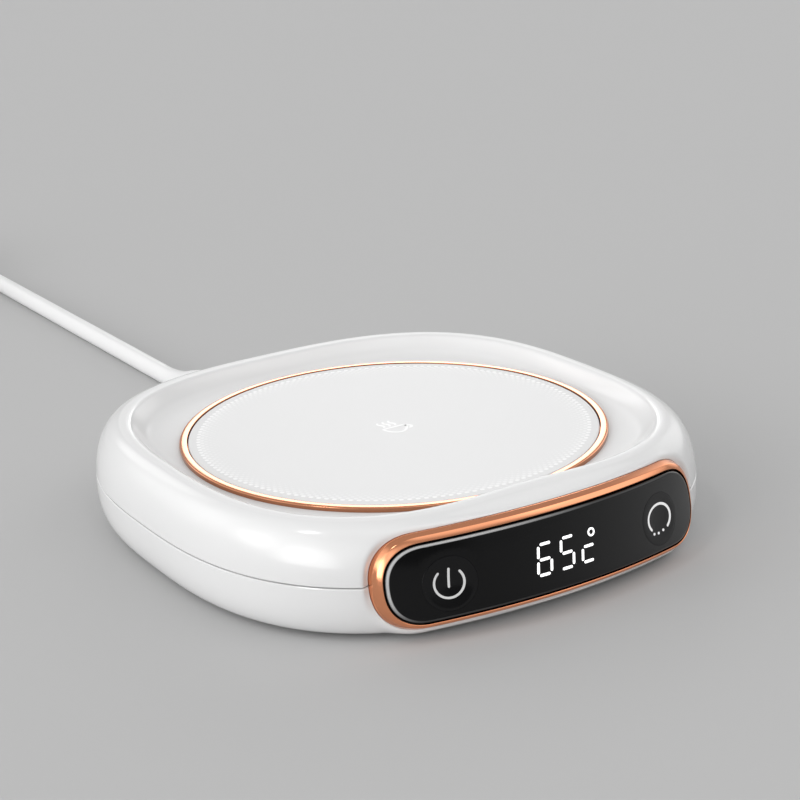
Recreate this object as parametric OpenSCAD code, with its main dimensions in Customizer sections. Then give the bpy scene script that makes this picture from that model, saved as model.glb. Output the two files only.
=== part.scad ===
// Electric mug warmer: a white two-part housing with a round heated glass plate, a metal-look
// ring round it, a black control panel with two press keys, and a mains lead with its plug.
// Millimetres. Origin on the table below the middle of the housing, +Z up, panel towards -Y.

/* [Housing] */
// Width of the housing, side to side
body_w = 118.2; // [114:0.1:124]
// Depth of the housing, front wall to back wall
body_d = 123.8; // [122:0.1:130]
// Squareness of the housing from above, where 2 is an ellipse
body_square = 2.7; // [2.5:0.1:3.0]
// Height of the rim above the table
rim_z = 22.9; // [22.6:0.1:24.5]
// Height of the widest line of the housing
waist_z = 9.2; // [8.5:0.1:10]
// Height of the parting line
parting_z = 11.7; // [11.3:0.1:12.2]
// Gap that shows at the parting line
parting_gap = 0.25; // [0.15:0.05:0.3]
// Wall of both housings
wall = 2.2; // [1.8:0.1:2.4]
// Floor of the lower housing
floor_t = 1.8; // [1.5:0.1:2.0]
// How far the underside curls in below the waist
bottom_curl = 4.6; // [3.5:0.1:5]
// Fullness of the shoulder curve, where 2 is an ellipse
shoulder_full = 2.3; // [2.1:0.1:2.6]
// Fullness of the bottom curve
bottom_full = 2.3; // [2.0:0.1:2.6]

/* [Dish] */
// Width of the rim crest, side to side
crest_w = 104.2; // [102:0.1:106]
// Depth of the rim crest, front to back
crest_d = 106; // [104:0.1:108]
// How far the crest is drawn in above the panel
crest_pull = 2.6; // [2:0.1:3]
// Squareness of the crest from above
crest_square = 2.87; // [2.6:0.01:3.0]
// Width of the roll from the crest into the dish
rim_roll = 1.8; // [1.6:0.1:2]
// How far the dish's hollow wall reaches in from the crest
bowl_w = 9.5; // [8:0.5:10]

/* [Plate and ring] */
// Diameter of the glass plate
plate_d = 87.2; // [84:0.1:88]
// Height of the plate's top above the table
plate_z = 20.6; // [20.4:0.1:21.2]
// Thickness of the glass
glass_t = 2.2; // [2:0.1:2.6]
// Gap round the glass
plate_gap = 0.3; // [0.2:0.05:0.4]
// Width of the ring's visible face
ring_face = 2.1; // [1.8:0.1:2.2]
// Height of the ring above the dish floor
ring_rise = 1.5; // [1.2:0.1:1.7]
// Height of the ring above the glass
ring_lip = 0.2; // [0.1:0.05:0.4]
// Wall of the ring's sleeve
sleeve_t = 1; // [0.8:0.1:1.2]
// Clearance between the sleeve and its hole
sleeve_fit = 0.2; // [0.1:0.05:0.3]
// Thickness of the seal under the glass
seal_t = 0.3; // [0.2:0.05:0.4]

/* [Heater] */
// Thickness of the aluminium spreader plate
spreader_t = 1.6; // [1.2:0.1:1.8]
// Thickness of the heating element
element_t = 0.5; // [0.4:0.1:0.7]
// Thickness of the insulation pad
pad_t = 3; // [2.8:0.1:3.2]
// Sheet thickness of the heater tray
tray_t = 1; // [0.8:0.1:1.1]
// Radius of the circle of tray screws
tray_screw_r = 49.3; // [49:0.1:50]

/* [Panel] */
// Half length of the bezel
bezel_len = 39; // [38.5:0.1:39.4]
// Half height of the bezel
bezel_half = 9.2; // [9:0.1:9.5]
// How full the panel's rounded ends are: 2 is a half circle
end_full = 2.35; // [2:0.05:2.6]
// Width of the bezel's bevelled face
bezel_face = 1.4; // [1.3:0.05:1.6]
// Height of the bezel's inner edge above the housing
bezel_rise = 2.15; // [1.8:0.05:2.4]
// Height of the panel's middle above the table
panel_z = 12.7; // [12.6:0.1:13.2]
// How far the panel leans back, in degrees
panel_lean = 11.3; // [9:0.1:12]
// Radius of the panel's curve from above
panel_curve = 91.6; // [88:0.1:110]
// Depth of the panel's seat behind the housing's front
panel_inset = 0.8; // [0.6:0.1:1.2]
// Thickness of the lens
lens_t = 2; // [1.8:0.1:2.2]
// Groove between the bezel and the lens
lens_gap = 0.3; // [0.25:0.05:0.4]
// How far the lens sits below the bezel's middle
lens_drop = 0.35; // [0.2:0.05:0.4]

/* [Keys] */
// Radius of each press key
key_r = 5.3; // [4.8:0.1:5.4]
// Distance of each key's middle from the bezel's end
key_in = 13.9; // [13.4:0.1:14.8]
// Distance of the keys and the display below the panel's middle
key_drop = 1.15; // [0.8:0.05:1.2]
// Running clearance round a key
key_fit = 0.12; // [0.08:0.02:0.16]
// Travel of a key
key_travel = 0.4; // [0.3:0.05:0.45]
// Depth of the finger dish in a key
key_dish = 0.4; // [0.3:0.05:0.5]

/* [Base] */
// Height of the feet below the housing
foot_h = 0.8; // [0.6:0.1:1]
// Radius of a foot
foot_r = 6; // [5:0.1:6.4]
// Depth of a foot's seat in the floor
foot_seat = 1.2; // [1:0.1:1.3]
// Distance of the housing screws from the middle, along X and Y
screw_x = 37.5; // [37:0.1:38]
// Radius of the housing screw's shank
screw_r = 0.95; // [0.8:0.05:1.1]

/* [Lead] */
// Diameter of the lead
cord_d = 5; // [4.6:0.1:5.2]
// Height of the lead's exit above the table
exit_z = 7.2; // [7:0.1:7.4]
// Length of the strain relief behind the housing
relief_len = 24; // [20:0.5:26]
// Radius of the coil at the middle of its turns
coil_r = 27.5; // [27:0.5:30]

/* [Plug] */
// Length of the plug's body
plug_len = 27; // [24:0.5:30]
// Width of the plug's body, across the blades
plug_w = 22; // [21:0.5:26]
// Thickness of the plug's body
plug_t = 14; // [12:0.5:16]
// Length of a blade
blade_len = 17; // [16:0.5:18]
// Width of a blade
blade_w = 6.3; // [6.2:0.1:6.4]
// Thickness of a blade
blade_t = 1.5; // [1.4:0.1:1.6]
// Distance between the two blades
blade_gap = 12.7; // [12.6:0.1:12.8]

/* [Hidden] */
$fn = 96;

CUT = 200;                        // larger than anything that a cut has to clear
SLIP = 0.1;                       // clearance between fixed pieces
TOUCH = 0.05;                     // gap at a screwed seat
SINK = 1;                         // how far a boss or a cut runs into what it joins
ARC_STEPS = 18;                   // steps round each end of the panel
SIDE_STEPS = 10;                  // steps along each of its sides
CORD_SIDES = 10;
plate_y = -0.6;                   // the plate's axis
body_y = 1.5;                     // the middle of the housing's outline
crest_y = 0.8;                    // the middle of the crest's outline
pull_width = 22;                  // degrees either side of the front that the crest is drawn in over
body_back = body_y + body_d / 2;
panel_y = body_y - body_d / 2 + panel_inset;

// Heights of the stack under the glass, from the top down
ring_top = plate_z + ring_lip;
dish_z = ring_top - ring_rise;
dish_t = 2;
dish_under = dish_z - dish_t;
glass_z = plate_z - glass_t;
ledge_z = glass_z - seal_t;
ledge_t = 1.2;
spreader_z = glass_z - spreader_t;
element_z = spreader_z - element_t;
pad_z = element_z - pad_t;
tray_z = pad_z - tray_t;
floor_z = foot_h + floor_t;

// Radii round the plate's axis
glass_r = plate_d / 2;
sleeve_in = glass_r + plate_gap;
sleeve_out = sleeve_in + sleeve_t;
ring_r = sleeve_in + ring_face;
hole_r = sleeve_out + sleeve_fit;
ledge_r = sleeve_in - 2.4;
spreader_r = ledge_r - plate_gap;
tray_r = spreader_r - 1.2;
pad_r = tray_r - tray_t - 2 * SLIP;
sleeve_z = dish_under - 2.1;
tab_count = 6;
tab_w = 6;
tab_step = 0.4;                   // how far a tab starts inside the sleeve

// What passes through the heater's layers: two leads, the sensor and the thermal fuse
lead_x = 4;
lead_y = 16;
lead_r = 0.9;
sensor_r = 2.4;
sensor_t = 1.6;
sensor_pin_x = 1;
sensor_pin_r = 0.4;
sensor_hole_r = sensor_r + 0.6;
fuse_x = 18;
fuse_y = 10;
fuse_len = 10;
fuse_r = 1.4;

// Curves of the housing
roll_turn = 55;                   // degrees that the rim rolls over before the wall turns hollow
bowl_hollow = 2.7;
shoulder_k = 2 / shoulder_full;
bottom_k = 2 / bottom_full;
tongue_t = 1.1;
tongue_h = 1.6;
tongue_fit = 0.35;
parting_top = parting_z + parting_gap / 2;
parting_low = parting_z - parting_gap / 2;

// Panel, in its own frame: x along it, y up along it, z out of it, 0 on the housing's skin
key_x = bezel_len - key_in;
opening_in = 0.45;                // inset of the housing's opening from the bezel's outline
opening_deep = 7.5;
seat_h = -0.25;
lip_reach = 1.8;                  // how far the housing's lip runs out beyond the bezel
lip_rise = 5;
skirt_in = opening_in + SLIP;
skirt_end = -2.8;
lens_in = bezel_face + lens_gap;
lens_top = bezel_rise + 0.25;
lens_back = lens_top - lens_t;
carrier_in = bezel_face + SLIP;
carrier_t = 1.1;
carrier_boss_r = 2.9;
carrier_boss_h = 3;
board_top = -10.5;
board_t = 1.6;
board_screw_r = 0.75;
board_head_r = 1.6;
board_head_h = 1.1;
flange_r = key_r + 0.4;
flange_t = 1.1;
dish_r = key_r - 0.5;
dish_ball = (dish_r * dish_r + key_dish * key_dish) / (2 * key_dish);
flange_top = panel_skin(key_x + flange_r, lens_back) - 2 * SLIP;
plunger_r = 1.7;
switch_w = 6;
switch_well = 1;                  // how far the plunger reaches into the switch at rest
switch_top = flange_top - flange_t - key_travel - 0.4;
display_w = 27;
display_h = 10.6;
display_plug_size = [12, 5, 3];
display_plug_low = board_top - board_t - display_plug_size.z;
boss_x = bezel_len - 5;
display_low = 2.8;                // inset of the display board's lower edge
display_high = 4.2;               // inset of its upper edge

// Boards and base
standoff_h = 1.4;
standoff_r = 2.6;
standoff_in = 4;                  // distance of the standoffs from the board's edges
main_z = floor_z + standoff_h;
main_top = main_z + board_t;
main_front = -14;
main_back = body_back - 25.4;
boss_low = 7.8;
boss_r = 4;
main_w = 2 * (screw_x - boss_r - 2.5);
head_r = 2.3;
head_h = 1.6;
head_seat = 5.6;
screw_tip = 14;
tray_boss_r = 2.6;
tray_ear_r = 3.5;
clamp_y = body_back - 11.4;
clamp_w = 5;
clamp_len = 17;
clamp_x = 6;                      // the clamp's screws, from the lead's axis
clamp_over = 0.8;                 // height of the clamp and its base beyond the lead's radius
cord_r = cord_d / 2;
core_x = 1.3;
core_r = 0.9;
entry_y = clamp_y - 6;

// Board parts: sizes, and places from the main board's side edge and its front edge
filter_cap = [18, 11, 5.6];
filter_cap_at = [13, 16];
triac = [10, 15, 4];
triac_at = [14.3, 28];
chip = [9, 6, 1.6];
chip_back = 19;
ribbon_socket = [12, 5, 4];
terminals = [12, 9, 5.6];
smoothing_r = 2.5;
smoothing_len = 11;
smoothing_at = [13.6, 8];
fuse_link_r = 1.8;
fuse_link_at = [12.4, 36];
terminals_y = main_back - main_front - standoff_in - terminals.y;
ribbon_w = 9;
ribbon_t = 0.6;

// Strain relief
relief_r = 3.9;
relief_neck = 3.3;
relief_lip = 0.8;                 // how far its outer collar stands behind the housing
relief_seat = 0.9;                // how deep that collar sits in the housing
relief_ribs = 5;
rib_step = 3.4;
rib_gap = 1.3;

// Sections round the housings, as bearings from the front: closer beside the ends of the panel
half_round = concat([for (i = [0:8]) 3 * i], [for (i = [1:14]) 24 + 1.1 * i],
    [for (i = [1:28]) 40 + 5 * i]);
BEARINGS = [for (b = concat(half_round, [for (i = [len(half_round) - 2:-1:1]) 360 - half_round[i]]))
    (630 - b) % 360];

// Lead: where its free stretch runs, from the strain relief to the coil
relief_end = body_back + relief_len;
coil_x = -35;
coil_y = 280;
coil_z = 0.6;
coil_wide = 3 * cord_d;
coil_high = 2 * cord_d;
tie_w = 5;
tie_t = 0.6;
tie_gap = 0.3;
cord_path = [[0, relief_end, exit_z], [0, relief_end + 2, exit_z], [0, 93, 6.75], [0, 96.5, 5.9],
    [0, 101, 4.5], [0, 106, 3.3], [0, 112, 2.6], [0, 120, 2.5], [0, 140, 2.5], [0, 160, 2.5],
    [0, 180, 2.5], [0, 200, 2.5], [0, 220, 2.5], [0, 236, 2.5], [-0.4, 250, 2.6],
    [-1.4, 264, 2.9], [-2.5, 280, 3.1]];
tail_path = [[-67.5, 280, 8.1], [-67.6, 276, 8.1], [-67.8, 272, 8], [-68, 268, 7.6],
    [-68, 264, 7.2], [-68, 260, 7], [-68, 256, 7]];
plug_x = -68;
plug_y = 256;
plug_neck = 16;
plug_round = 3;
blade_hole_r = 1.5;
blade_hole_in = 4;                // distance of a blade's hole from its end

// Superellipse: distance from its middle at angle a, for half width w and half depth d
function squircle(a, w, d, n) = pow(pow(abs(cos(a)) / w, n) + pow(abs(sin(a)) / d, n), -1 / n);
function unit(v) = v / norm(v);
function waist_at(a) = let (r = squircle(a, body_w / 2, body_d / 2, body_square))
    [r * cos(a), r * sin(a) + body_y];
function crest_at(a) =
    let (r = squircle(a, crest_w / 2, crest_d / 2, crest_square)
        - crest_pull * exp(-pow((a - 270) / pull_width, 2)))
    [r * cos(a), r * sin(a) + crest_y];
function hole_at(a) = [(hole_r - SINK) * cos(a), (hole_r - SINK) * sin(a) + plate_y];
function inward(a) = unit([0, body_y] - waist_at(a));
function to_plate(a) = unit(hole_at(a) - crest_at(a));

// Shoulder of the upper housing: t is 0 at the waist and 90 at the crest, sunk by the wall inside
function shoulder_angle(z, sink) =
    asin(pow((z - waist_z) / (rim_z - sink - waist_z), 1 / shoulder_k));
function shoulder(a, t, sink) =
    let (low = waist_at(a) + inward(a) * sink, high = crest_at(a))
    concat(low + (high - low) * (1 - pow(cos(t), shoulder_k)),
        waist_z + (rim_z - sink - waist_z) * pow(sin(t), shoulder_k));

// Underside of the lower housing: t is 0 at the waist and 90 at the flat bottom
function underside(a, t, sink) =
    concat(waist_at(a) + inward(a) * (sink + bottom_curl * (1 - pow(cos(t), bottom_k))),
        waist_z - (waist_z - foot_h - sink * floor_t / wall) * pow(sin(t), bottom_k));
function crest_in(a, in, z) = concat(crest_at(a) + to_plate(a) * in, z);
// The dish's wall: a roll from the crest, t degrees over, then a hollow down to the floor at u 1
function bowl_reach(a) =
    min(bowl_w, norm(hole_at(a) - crest_at(a)) + hole_r - SINK - ring_r - plate_gap);
function roll_drop(a) =
    let (span = bowl_reach(a) - rim_roll * sin(roll_turn))
    bowl_hollow * (rim_z - dish_z)
        / (span * tan(roll_turn) / rim_roll + bowl_hollow * (1 - cos(roll_turn)));
function roll_at(a, t) = crest_in(a, rim_roll * sin(t), rim_z - roll_drop(a) * (1 - cos(t)));
function bowl_at(a, u, sink) =
    let (edge = rim_roll * sin(roll_turn), top = roll_at(a, roll_turn).z)
    crest_in(a, edge + (bowl_reach(a) - edge) * u,
        dish_z + (top - dish_z) * pow(1 - u, bowl_hollow) - sink);
function waist_in(a, in, z) =
    let (t = shoulder_angle(min(z, parting_z), 0), p = shoulder(a, t, 0))
    concat([p.x, p.y] + inward(a) * in, z);

// Skin beside the panel, drawn onto the panel's own surface and let go over the lip's reach
function panel_skin(x, h) = sqrt(pow(panel_curve + h, 2) - x * x) - panel_curve;
function full_norm(x, y) = pow(pow(x, end_full) + pow(y, end_full), 1 / end_full);
function lifted(p) =
    let (dy = p.y - panel_y, dz = p.z - panel_z,
        v = dy * sin(panel_lean) + dz * cos(panel_lean),
        w = dz * sin(panel_lean) - dy * cos(panel_lean),
        end = max(abs(p.x) - bezel_len + bezel_half, 0),
        beyond = full_norm(end, abs(v)) - bezel_half,
        t = max(0, min(beyond / lip_reach, 1)),
        lift = (1 - 3 * t * t + 2 * t * t * t) * (panel_skin(p.x, 0) - w),
        up = lift * sin(panel_lean) * max(0, min((p.z - parting_top) / lip_rise, 1)))
    p.y > 0 ? p : [p.x, p.y + (up * sin(panel_lean) - lift) / cos(panel_lean), p.z + up];

// Skin between rings of points: closed on itself, or capped at both ends
function quads(j, k, n) = [for (i = [0:n - 1]) let (m = (i + 1) % n)
    each [[j * n + i, j * n + m, k * n + m], [j * n + i, k * n + m, k * n + i]]];
module tube_skin(rings) {
    n = len(rings[0]);
    m = len(rings);
    polyhedron([for (r = rings) each r], [for (j = [0:m - 1]) each quads(j, (j + 1) % m, n)]);
}
module capped_skin(rings) {
    n = len(rings[0]);
    m = len(rings);
    polyhedron([for (r = rings) each r], concat(
        [[for (i = [n - 1:-1:0]) i], [for (i = [0:n - 1]) (m - 1) * n + i]],
        [for (j = [0:m - 2]) each quads(j, j + 1, n)]));
}

// A round bar between two heights at a place
module post(x, y, z0, z1, r) {
    translate([x, y, z0]) cylinder(r = r, h = z1 - z0);
}
module disc(z0, z1, r) {
    post(0, plate_y, z0, z1, r);
}
module at_corners() {
    for (x = [-screw_x, screw_x], y = [-screw_x, screw_x]) translate([x, body_y + y, 0]) children();
}
module at_tray_screws() {
    for (a = [90, 210, 330])
        translate([tray_screw_r * cos(a), plate_y + tray_screw_r * sin(a), 0]) children();
}
module at_standoffs() {
    side = main_w / 2 - standoff_in;
    for (x = [-side, side], y = [main_front + standoff_in, main_back - standoff_in])
        translate([x, y, 0]) children();
}
module at_clamp_screws() {
    for (x = [-clamp_x, clamp_x]) translate([x, clamp_y, 0]) children();
}
module below(z) {
    translate([-CUT, -CUT, z - CUT]) cube([2 * CUT, 2 * CUT, CUT]);
}
// A bar along the lead's axis at its exit
module along_exit(y0, y1, r0, r1) {
    translate([0, y0, exit_z]) rotate([-90, 0, 0]) cylinder(r1 = r0, r2 = r1, h = y1 - y0);
}

// The panel's own frame, and its outline at an inset: a capsule with full ends, which comes down to
// the lens's middle on its way in
module on_panel() {
    translate([0, panel_y, panel_z]) rotate([90 - panel_lean, 0, 0]) children();
}
module at_keys() {
    for (x = [-key_x, key_x]) translate([x, -key_drop, 0]) children();
}
function end_point(a, r) = [sin(a), cos(a)] * r / full_norm(abs(sin(a)), abs(cos(a)));
function outline(in) =
    let (r = bezel_half - in, s = bezel_len - bezel_half, arc = 180 / ARC_STEPS,
        side = 2 * s / SIDE_STEPS, drop = [0, lens_drop * max(0, min(in / lens_in, 1))],
        flat = concat(
            [for (i = [0:ARC_STEPS]) [s, 0] + end_point(arc * i, r)],
            [for (i = [1:SIDE_STEPS - 1]) [s - side * i, -r]],
            [for (i = [0:ARC_STEPS]) [-s, 0] - end_point(arc * i, r)],
            [for (i = [1:SIDE_STEPS - 1]) [-s + side * i, r]]))
    [for (p = flat) p - drop];
module capsule_block(in, z0, z1) {
    translate([0, 0, z0]) linear_extrude(z1 - z0) polygon(outline(in));
}
module drum(h) {
    translate([0, 0, -panel_curve]) rotate([90, 0, 0])
        cylinder(r = panel_curve + h, h = 4 * bezel_half, center = true, $fn = 180);
}
// Points of the outline at an inset, lifted by h from the curved skin
function capsule_ring(in, h) = [for (p = outline(in)) [p.x, p.y, panel_skin(p.x, h)]];

// What the panel takes out of both housings: its opening, and a seat under the bezel's edge
module panel_opening() {
    difference() {
        on_panel() difference() {
            capsule_block(opening_in, -CUT / 8, CUT / 8);
            drum(-opening_deep);
        }
        below(floor_z);
    }
    on_panel() difference() {
        capsule_block(-SLIP, -CUT / 16, CUT / 8);
        drum(seat_h);
    }
}

module upper_shell() {
    low = shoulder_angle(parting_top, 0);
    low_in = shoulder_angle(parting_top, wall);
    outer = [for (i = [0:10]) low + (90 - low) * i / 10];
    inner = [for (i = [0:5]) 82 - (82 - low_in) * i / 5];
    tube_skin(concat(
        [for (t = outer) [for (a = BEARINGS) lifted(shoulder(a, t, 0))]],
        [for (t = [18, 36, roll_turn]) [for (a = BEARINGS) roll_at(a, t)]],
        [for (u = [0.15, 0.35, 0.6, 1]) [for (a = BEARINGS) bowl_at(a, u, 0)]],
        [[for (a = BEARINGS) concat(hole_at(a), dish_z)],
            [for (a = BEARINGS) concat(hole_at(a), dish_under)],
            [for (a = BEARINGS) bowl_at(a, 1, dish_t)],
            [for (a = BEARINGS) bowl_at(a, 0.35, dish_t)],
            [for (a = BEARINGS) crest_in(a, 1, rim_z - wall - 0.4)]],
        [for (t = inner) [for (a = BEARINGS) shoulder(a, t, wall)]]));
}
module upper_housing() {
    color("white") difference() {
        union() {
            upper_shell();
            at_tray_screws() post(0, 0, pad_z + TOUCH, dish_z - SINK, tray_boss_r);
            at_corners() post(0, 0, boss_low + TOUCH, dish_z - SINK, boss_r);
        }
        panel_opening();
        disc(dish_under - SINK, rim_z, hole_r);
        at_tray_screws() post(0, 0, pad_z - SINK, dish_under + 0.4, screw_r + TOUCH);
        at_corners() post(0, 0, boss_low - SINK, screw_tip + SINK, screw_r + TOUCH);
    }
}

module lower_shell() {
    low = shoulder_angle(parting_low, 0);
    curl = [90, 80, 70, 60, 50, 40, 25, 0];
    tongue = wall + tongue_fit;
    capped_skin(concat(
        [for (t = curl) [for (a = BEARINGS) lifted(underside(a, t, 0))]],
        [for (t = [low / 2, low]) [for (a = BEARINGS) lifted(shoulder(a, t, 0))]],
        [for (p = [[tongue, parting_low], [tongue, parting_low + tongue_h],
            [tongue + tongue_t, parting_low + tongue_h], [tongue + tongue_t, waist_z + 0.2]])
            [for (a = BEARINGS) waist_in(a, p[0], p[1])]],
        [for (t = [0, 30, 55, 75, 90]) [for (a = BEARINGS) underside(a, t, wall)]]));
}
module lower_housing() {
    color("white") difference() {
        union() {
            lower_shell();
            at_corners() post(0, 0, floor_z - SINK, boss_low, boss_r);
            at_standoffs() post(0, 0, floor_z - SINK, main_z, standoff_r);
            translate([-clamp_len / 2, clamp_y - clamp_w / 2, floor_z - SINK])
                cube([clamp_len, clamp_w, exit_z + clamp_over - floor_z]);
        }
        panel_opening();
        at_corners() {
            post(0, 0, -SINK, foot_h + foot_seat, foot_r + SLIP);
            post(0, 0, 0, head_seat, head_r + 3 * SLIP);
            post(0, 0, 0, boss_low + SINK, screw_r + 3 * SLIP);
        }
        at_standoffs() post(0, 0, floor_z - SINK, main_top, board_screw_r + TOUCH);
        at_clamp_screws() post(0, 0, floor_z + SINK, exit_z + cord_r, board_screw_r + TOUCH);
        along_exit(clamp_y - clamp_w, clamp_y + clamp_w, cord_r + SLIP, cord_r + SLIP);
        along_exit(body_back - 6, body_back - wall - 2 * SLIP, relief_r + 2 * SLIP, relief_r + 2 * SLIP);
        along_exit(body_back - 8, body_back + SINK, relief_neck + SLIP, relief_neck + SLIP);
        along_exit(body_back - relief_seat, body_back + SINK, relief_r + SLIP, relief_r + SLIP);
    }
}

module plate_ring() {
    color("#c77b4e") translate([0, plate_y, 0]) {
        rotate_extrude($fn = 180) polygon([[sleeve_in, ring_top - 0.25], [sleeve_in + 0.25, ring_top],
            [ring_r - 0.5, ring_top], [ring_r - 0.15, ring_top - 0.15], [ring_r, ring_top - 0.5],
            [ring_r, dish_z + TOUCH], [sleeve_out, dish_z + TOUCH],
            [sleeve_out, sleeve_z], [sleeve_in, sleeve_z], [sleeve_in, ledge_z - ledge_t],
            [ledge_r, ledge_z - ledge_t], [ledge_r, ledge_z], [sleeve_in, ledge_z]]);
        for (i = [1:tab_count]) rotate(360 / tab_count * (i + 0.5))
            translate([sleeve_out - tab_step, -tab_w / 2, sleeve_z])
                cube([sleeve_fit + tab_step + 0.8, tab_w, dish_under - SLIP - sleeve_z]);
    }
}
module glass_plate() {
    color("whitesmoke") translate([0, plate_y, 0]) rotate_extrude($fn = 180)
        polygon([[0, glass_z], [glass_r, glass_z], [glass_r, plate_z - 0.3],
            [glass_r - 0.3, plate_z], [0, plate_z]]);
}
module plate_seal() {
    color("dimgray") difference() {
        disc(ledge_z, glass_z, glass_r - 0.2);
        disc(ledge_z - 1, glass_z + 1, ledge_r + 0.1);
    }
}
module spreader_plate() {
    color("silver") disc(spreader_z, glass_z, spreader_r);
}
module heating_element() {
    color("#b5651d") difference() {
        disc(element_z, spreader_z, pad_r - 2 * SLIP);
        disc(element_z - SINK, spreader_z + SINK, sensor_hole_r);
    }
}
module at_leads() {
    for (x = [-lead_x, lead_x]) translate([x, lead_y, 0]) children();
}
module insulation_pad() {
    color("ivory") difference() {
        disc(pad_z, element_z, pad_r);
        disc(pad_z - SINK, element_z + SINK, sensor_hole_r);
        at_leads() post(0, 0, pad_z - SINK, element_z + SINK, lead_r + 3 * SLIP);
        translate([fuse_x - fuse_len / 2 - 3 * SLIP, fuse_y - fuse_r - 3 * SLIP, pad_z - SINK])
            cube([fuse_len + 6 * SLIP, 2 * fuse_r + 6 * SLIP, pad_t + 2 * SINK]);
    }
}
module heater_tray() {
    color("gainsboro") difference() {
        union() {
            difference() {
                disc(tray_z, element_z, tray_r);
                disc(pad_z, element_z + SINK, tray_r - tray_t);
            }
            for (a = [90, 210, 330]) translate([0, plate_y, tray_z]) rotate(a) {
                translate([tray_r - 2, -tray_ear_r, 0])
                    cube([tray_screw_r - tray_r + 2, 2 * tray_ear_r, tray_t]);
                translate([tray_screw_r, 0, 0]) cylinder(r = tray_ear_r, h = tray_t);
            }
        }
        disc(tray_z - SINK, pad_z + SINK, sensor_hole_r);
        at_leads() post(0, 0, tray_z - SINK, pad_z + SINK, lead_r + 3 * SLIP);
        at_tray_screws() post(0, 0, tray_z - SINK, pad_z + SINK, screw_r + SLIP);
    }
}
// A screw that is driven upwards: its head's underside at z and its tip above
module raised_screw(z, tip, head, height, shank) {
    post(0, 0, z - height, z, head);
    post(0, 0, z - height / 2, tip, shank);
}
module tray_screws() {
    color("silver") at_tray_screws()
        raised_screw(tray_z, dish_under, head_r - 0.4, head_h - 0.5, screw_r);
}
module thermistor() {
    color("black") {
        disc(spreader_z - sensor_t, spreader_z, sensor_r);
        for (x = [-sensor_pin_x, sensor_pin_x])
            post(x, plate_y, main_top, spreader_z - sensor_t / 2, sensor_pin_r);
    }
}
module thermal_fuse() {
    color("tan") translate([fuse_x - fuse_len / 2, fuse_y, element_z - fuse_r])
        rotate([0, 90, 0]) cylinder(r = fuse_r, h = fuse_len);
}
module heater_leads() {
    color("firebrick") at_leads() post(0, 0, main_top, element_z, lead_r);
}

// Bezel: a bevelled frame that follows the curve, with a skirt that fits in the opening
module panel_bezel() {
    color("#d08050") on_panel() tube_skin([for (p = [[0, seat_h + TOUCH], [0, 0.3], [0.5, 1.55],
        [0.7, 1.8], [bezel_face - 0.2, bezel_rise], [bezel_face, bezel_rise - 0.2],
        [bezel_face, skirt_end], [skirt_in, skirt_end], [skirt_in, seat_h + TOUCH]])
        capsule_ring(p[0], p[1])]);
}
module panel_lens() {
    color("#111111") on_panel() difference() {
        intersection() {
            drum(lens_top);
            capsule_block(lens_in, -CUT / 8, CUT / 8);
        }
        drum(lens_back);
        at_keys() translate([0, 0, -CUT / 8]) cylinder(r = key_r + key_fit, h = CUT / 4);
    }
}
module at_carrier_screws() {
    for (x = [-boss_x, boss_x]) translate([x, 0, board_top]) children();
}
// The carrier keeps clear of the keys' flanges, and of the ring's sleeve whatever the housing's depth
module panel_carrier() {
    color("#2b2b2b") difference() {
        on_panel() union() {
            intersection() {
                difference() {
                    capsule_block(carrier_in, board_top, CUT / 8);
                    capsule_block(carrier_in + carrier_t, board_top - SINK, CUT / 8);
                }
                drum(lens_back);
            }
            intersection() {
                at_carrier_screws() cylinder(r = carrier_boss_r, h = carrier_boss_h);
                capsule_block(carrier_in, board_top, CUT / 8);
            }
        }
        on_panel() at_carrier_screws() translate([0, 0, -SINK])
            cylinder(r = board_screw_r + TOUCH, h = carrier_boss_h);
        on_panel() at_keys() translate([0, 0, board_top + SINK])
            cylinder(r = flange_r + 2 * SLIP, h = CUT / 8);
        disc(sleeve_z - SINK, rim_z, ring_r + plate_gap);
    }
}
// A key: a round cap that fills its hole in the lens, a flange behind the lens and a plunger.
// Its finger dish is cut square to the curved face.
module press_key(x) {
    on_panel() difference() {
        union() {
            intersection() {
                drum(lens_top);
                translate([x, -key_drop, flange_top - flange_t]) cylinder(r = key_r, h = CUT / 8);
            }
            translate([x, -key_drop, flange_top - flange_t]) cylinder(r = flange_r, h = flange_t);
            translate([x, -key_drop, switch_top - switch_well])
                cylinder(r = plunger_r, h = flange_top - switch_top);
        }
        translate([0, -key_drop, -panel_curve]) rotate([0, asin(x / (panel_curve + lens_top)), 0])
            translate([0, 0, panel_curve + lens_top + dish_ball - key_dish]) sphere(r = dish_ball);
    }
}
module power_key() {
    color("#161616") press_key(-key_x);
}
module mode_key() {
    color("#161616") press_key(key_x);
}
module key_switches() {
    well_floor = switch_top - switch_well - key_travel - SLIP;
    color("#303030") on_panel() at_keys() difference() {
        translate([-switch_w / 2, -switch_w / 2, board_top])
            cube([switch_w, switch_w, switch_top - board_top]);
        translate([0, 0, well_floor]) cylinder(r = plunger_r + SLIP, h = switch_well * 4);
    }
}
module display_board() {
    color("darkgreen") on_panel() difference() {
        intersection() {
            capsule_block(carrier_in + 2 * SLIP, board_top - board_t, board_top);
            translate([-bezel_len, display_low - bezel_half, board_top - board_t])
                cube([2 * bezel_len, 2 * bezel_half - display_low - display_high, board_t]);
        }
        at_carrier_screws() translate([0, 0, -board_t - SINK])
            cylinder(r = board_screw_r + 2 * SLIP, h = board_t + 2 * SINK);
    }
}
module led_display() {
    color("gainsboro") on_panel() intersection() {
        translate([-display_w / 2, -display_h / 2 - key_drop, board_top])
            cube([display_w, display_h, CUT / 8]);
        drum(lens_back - 3 * SLIP);
    }
}
module display_plug() {
    color("ivory") on_panel()
        translate([-display_plug_size.x / 2, -display_plug_size.y, display_plug_low])
            cube(display_plug_size);
}
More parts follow.
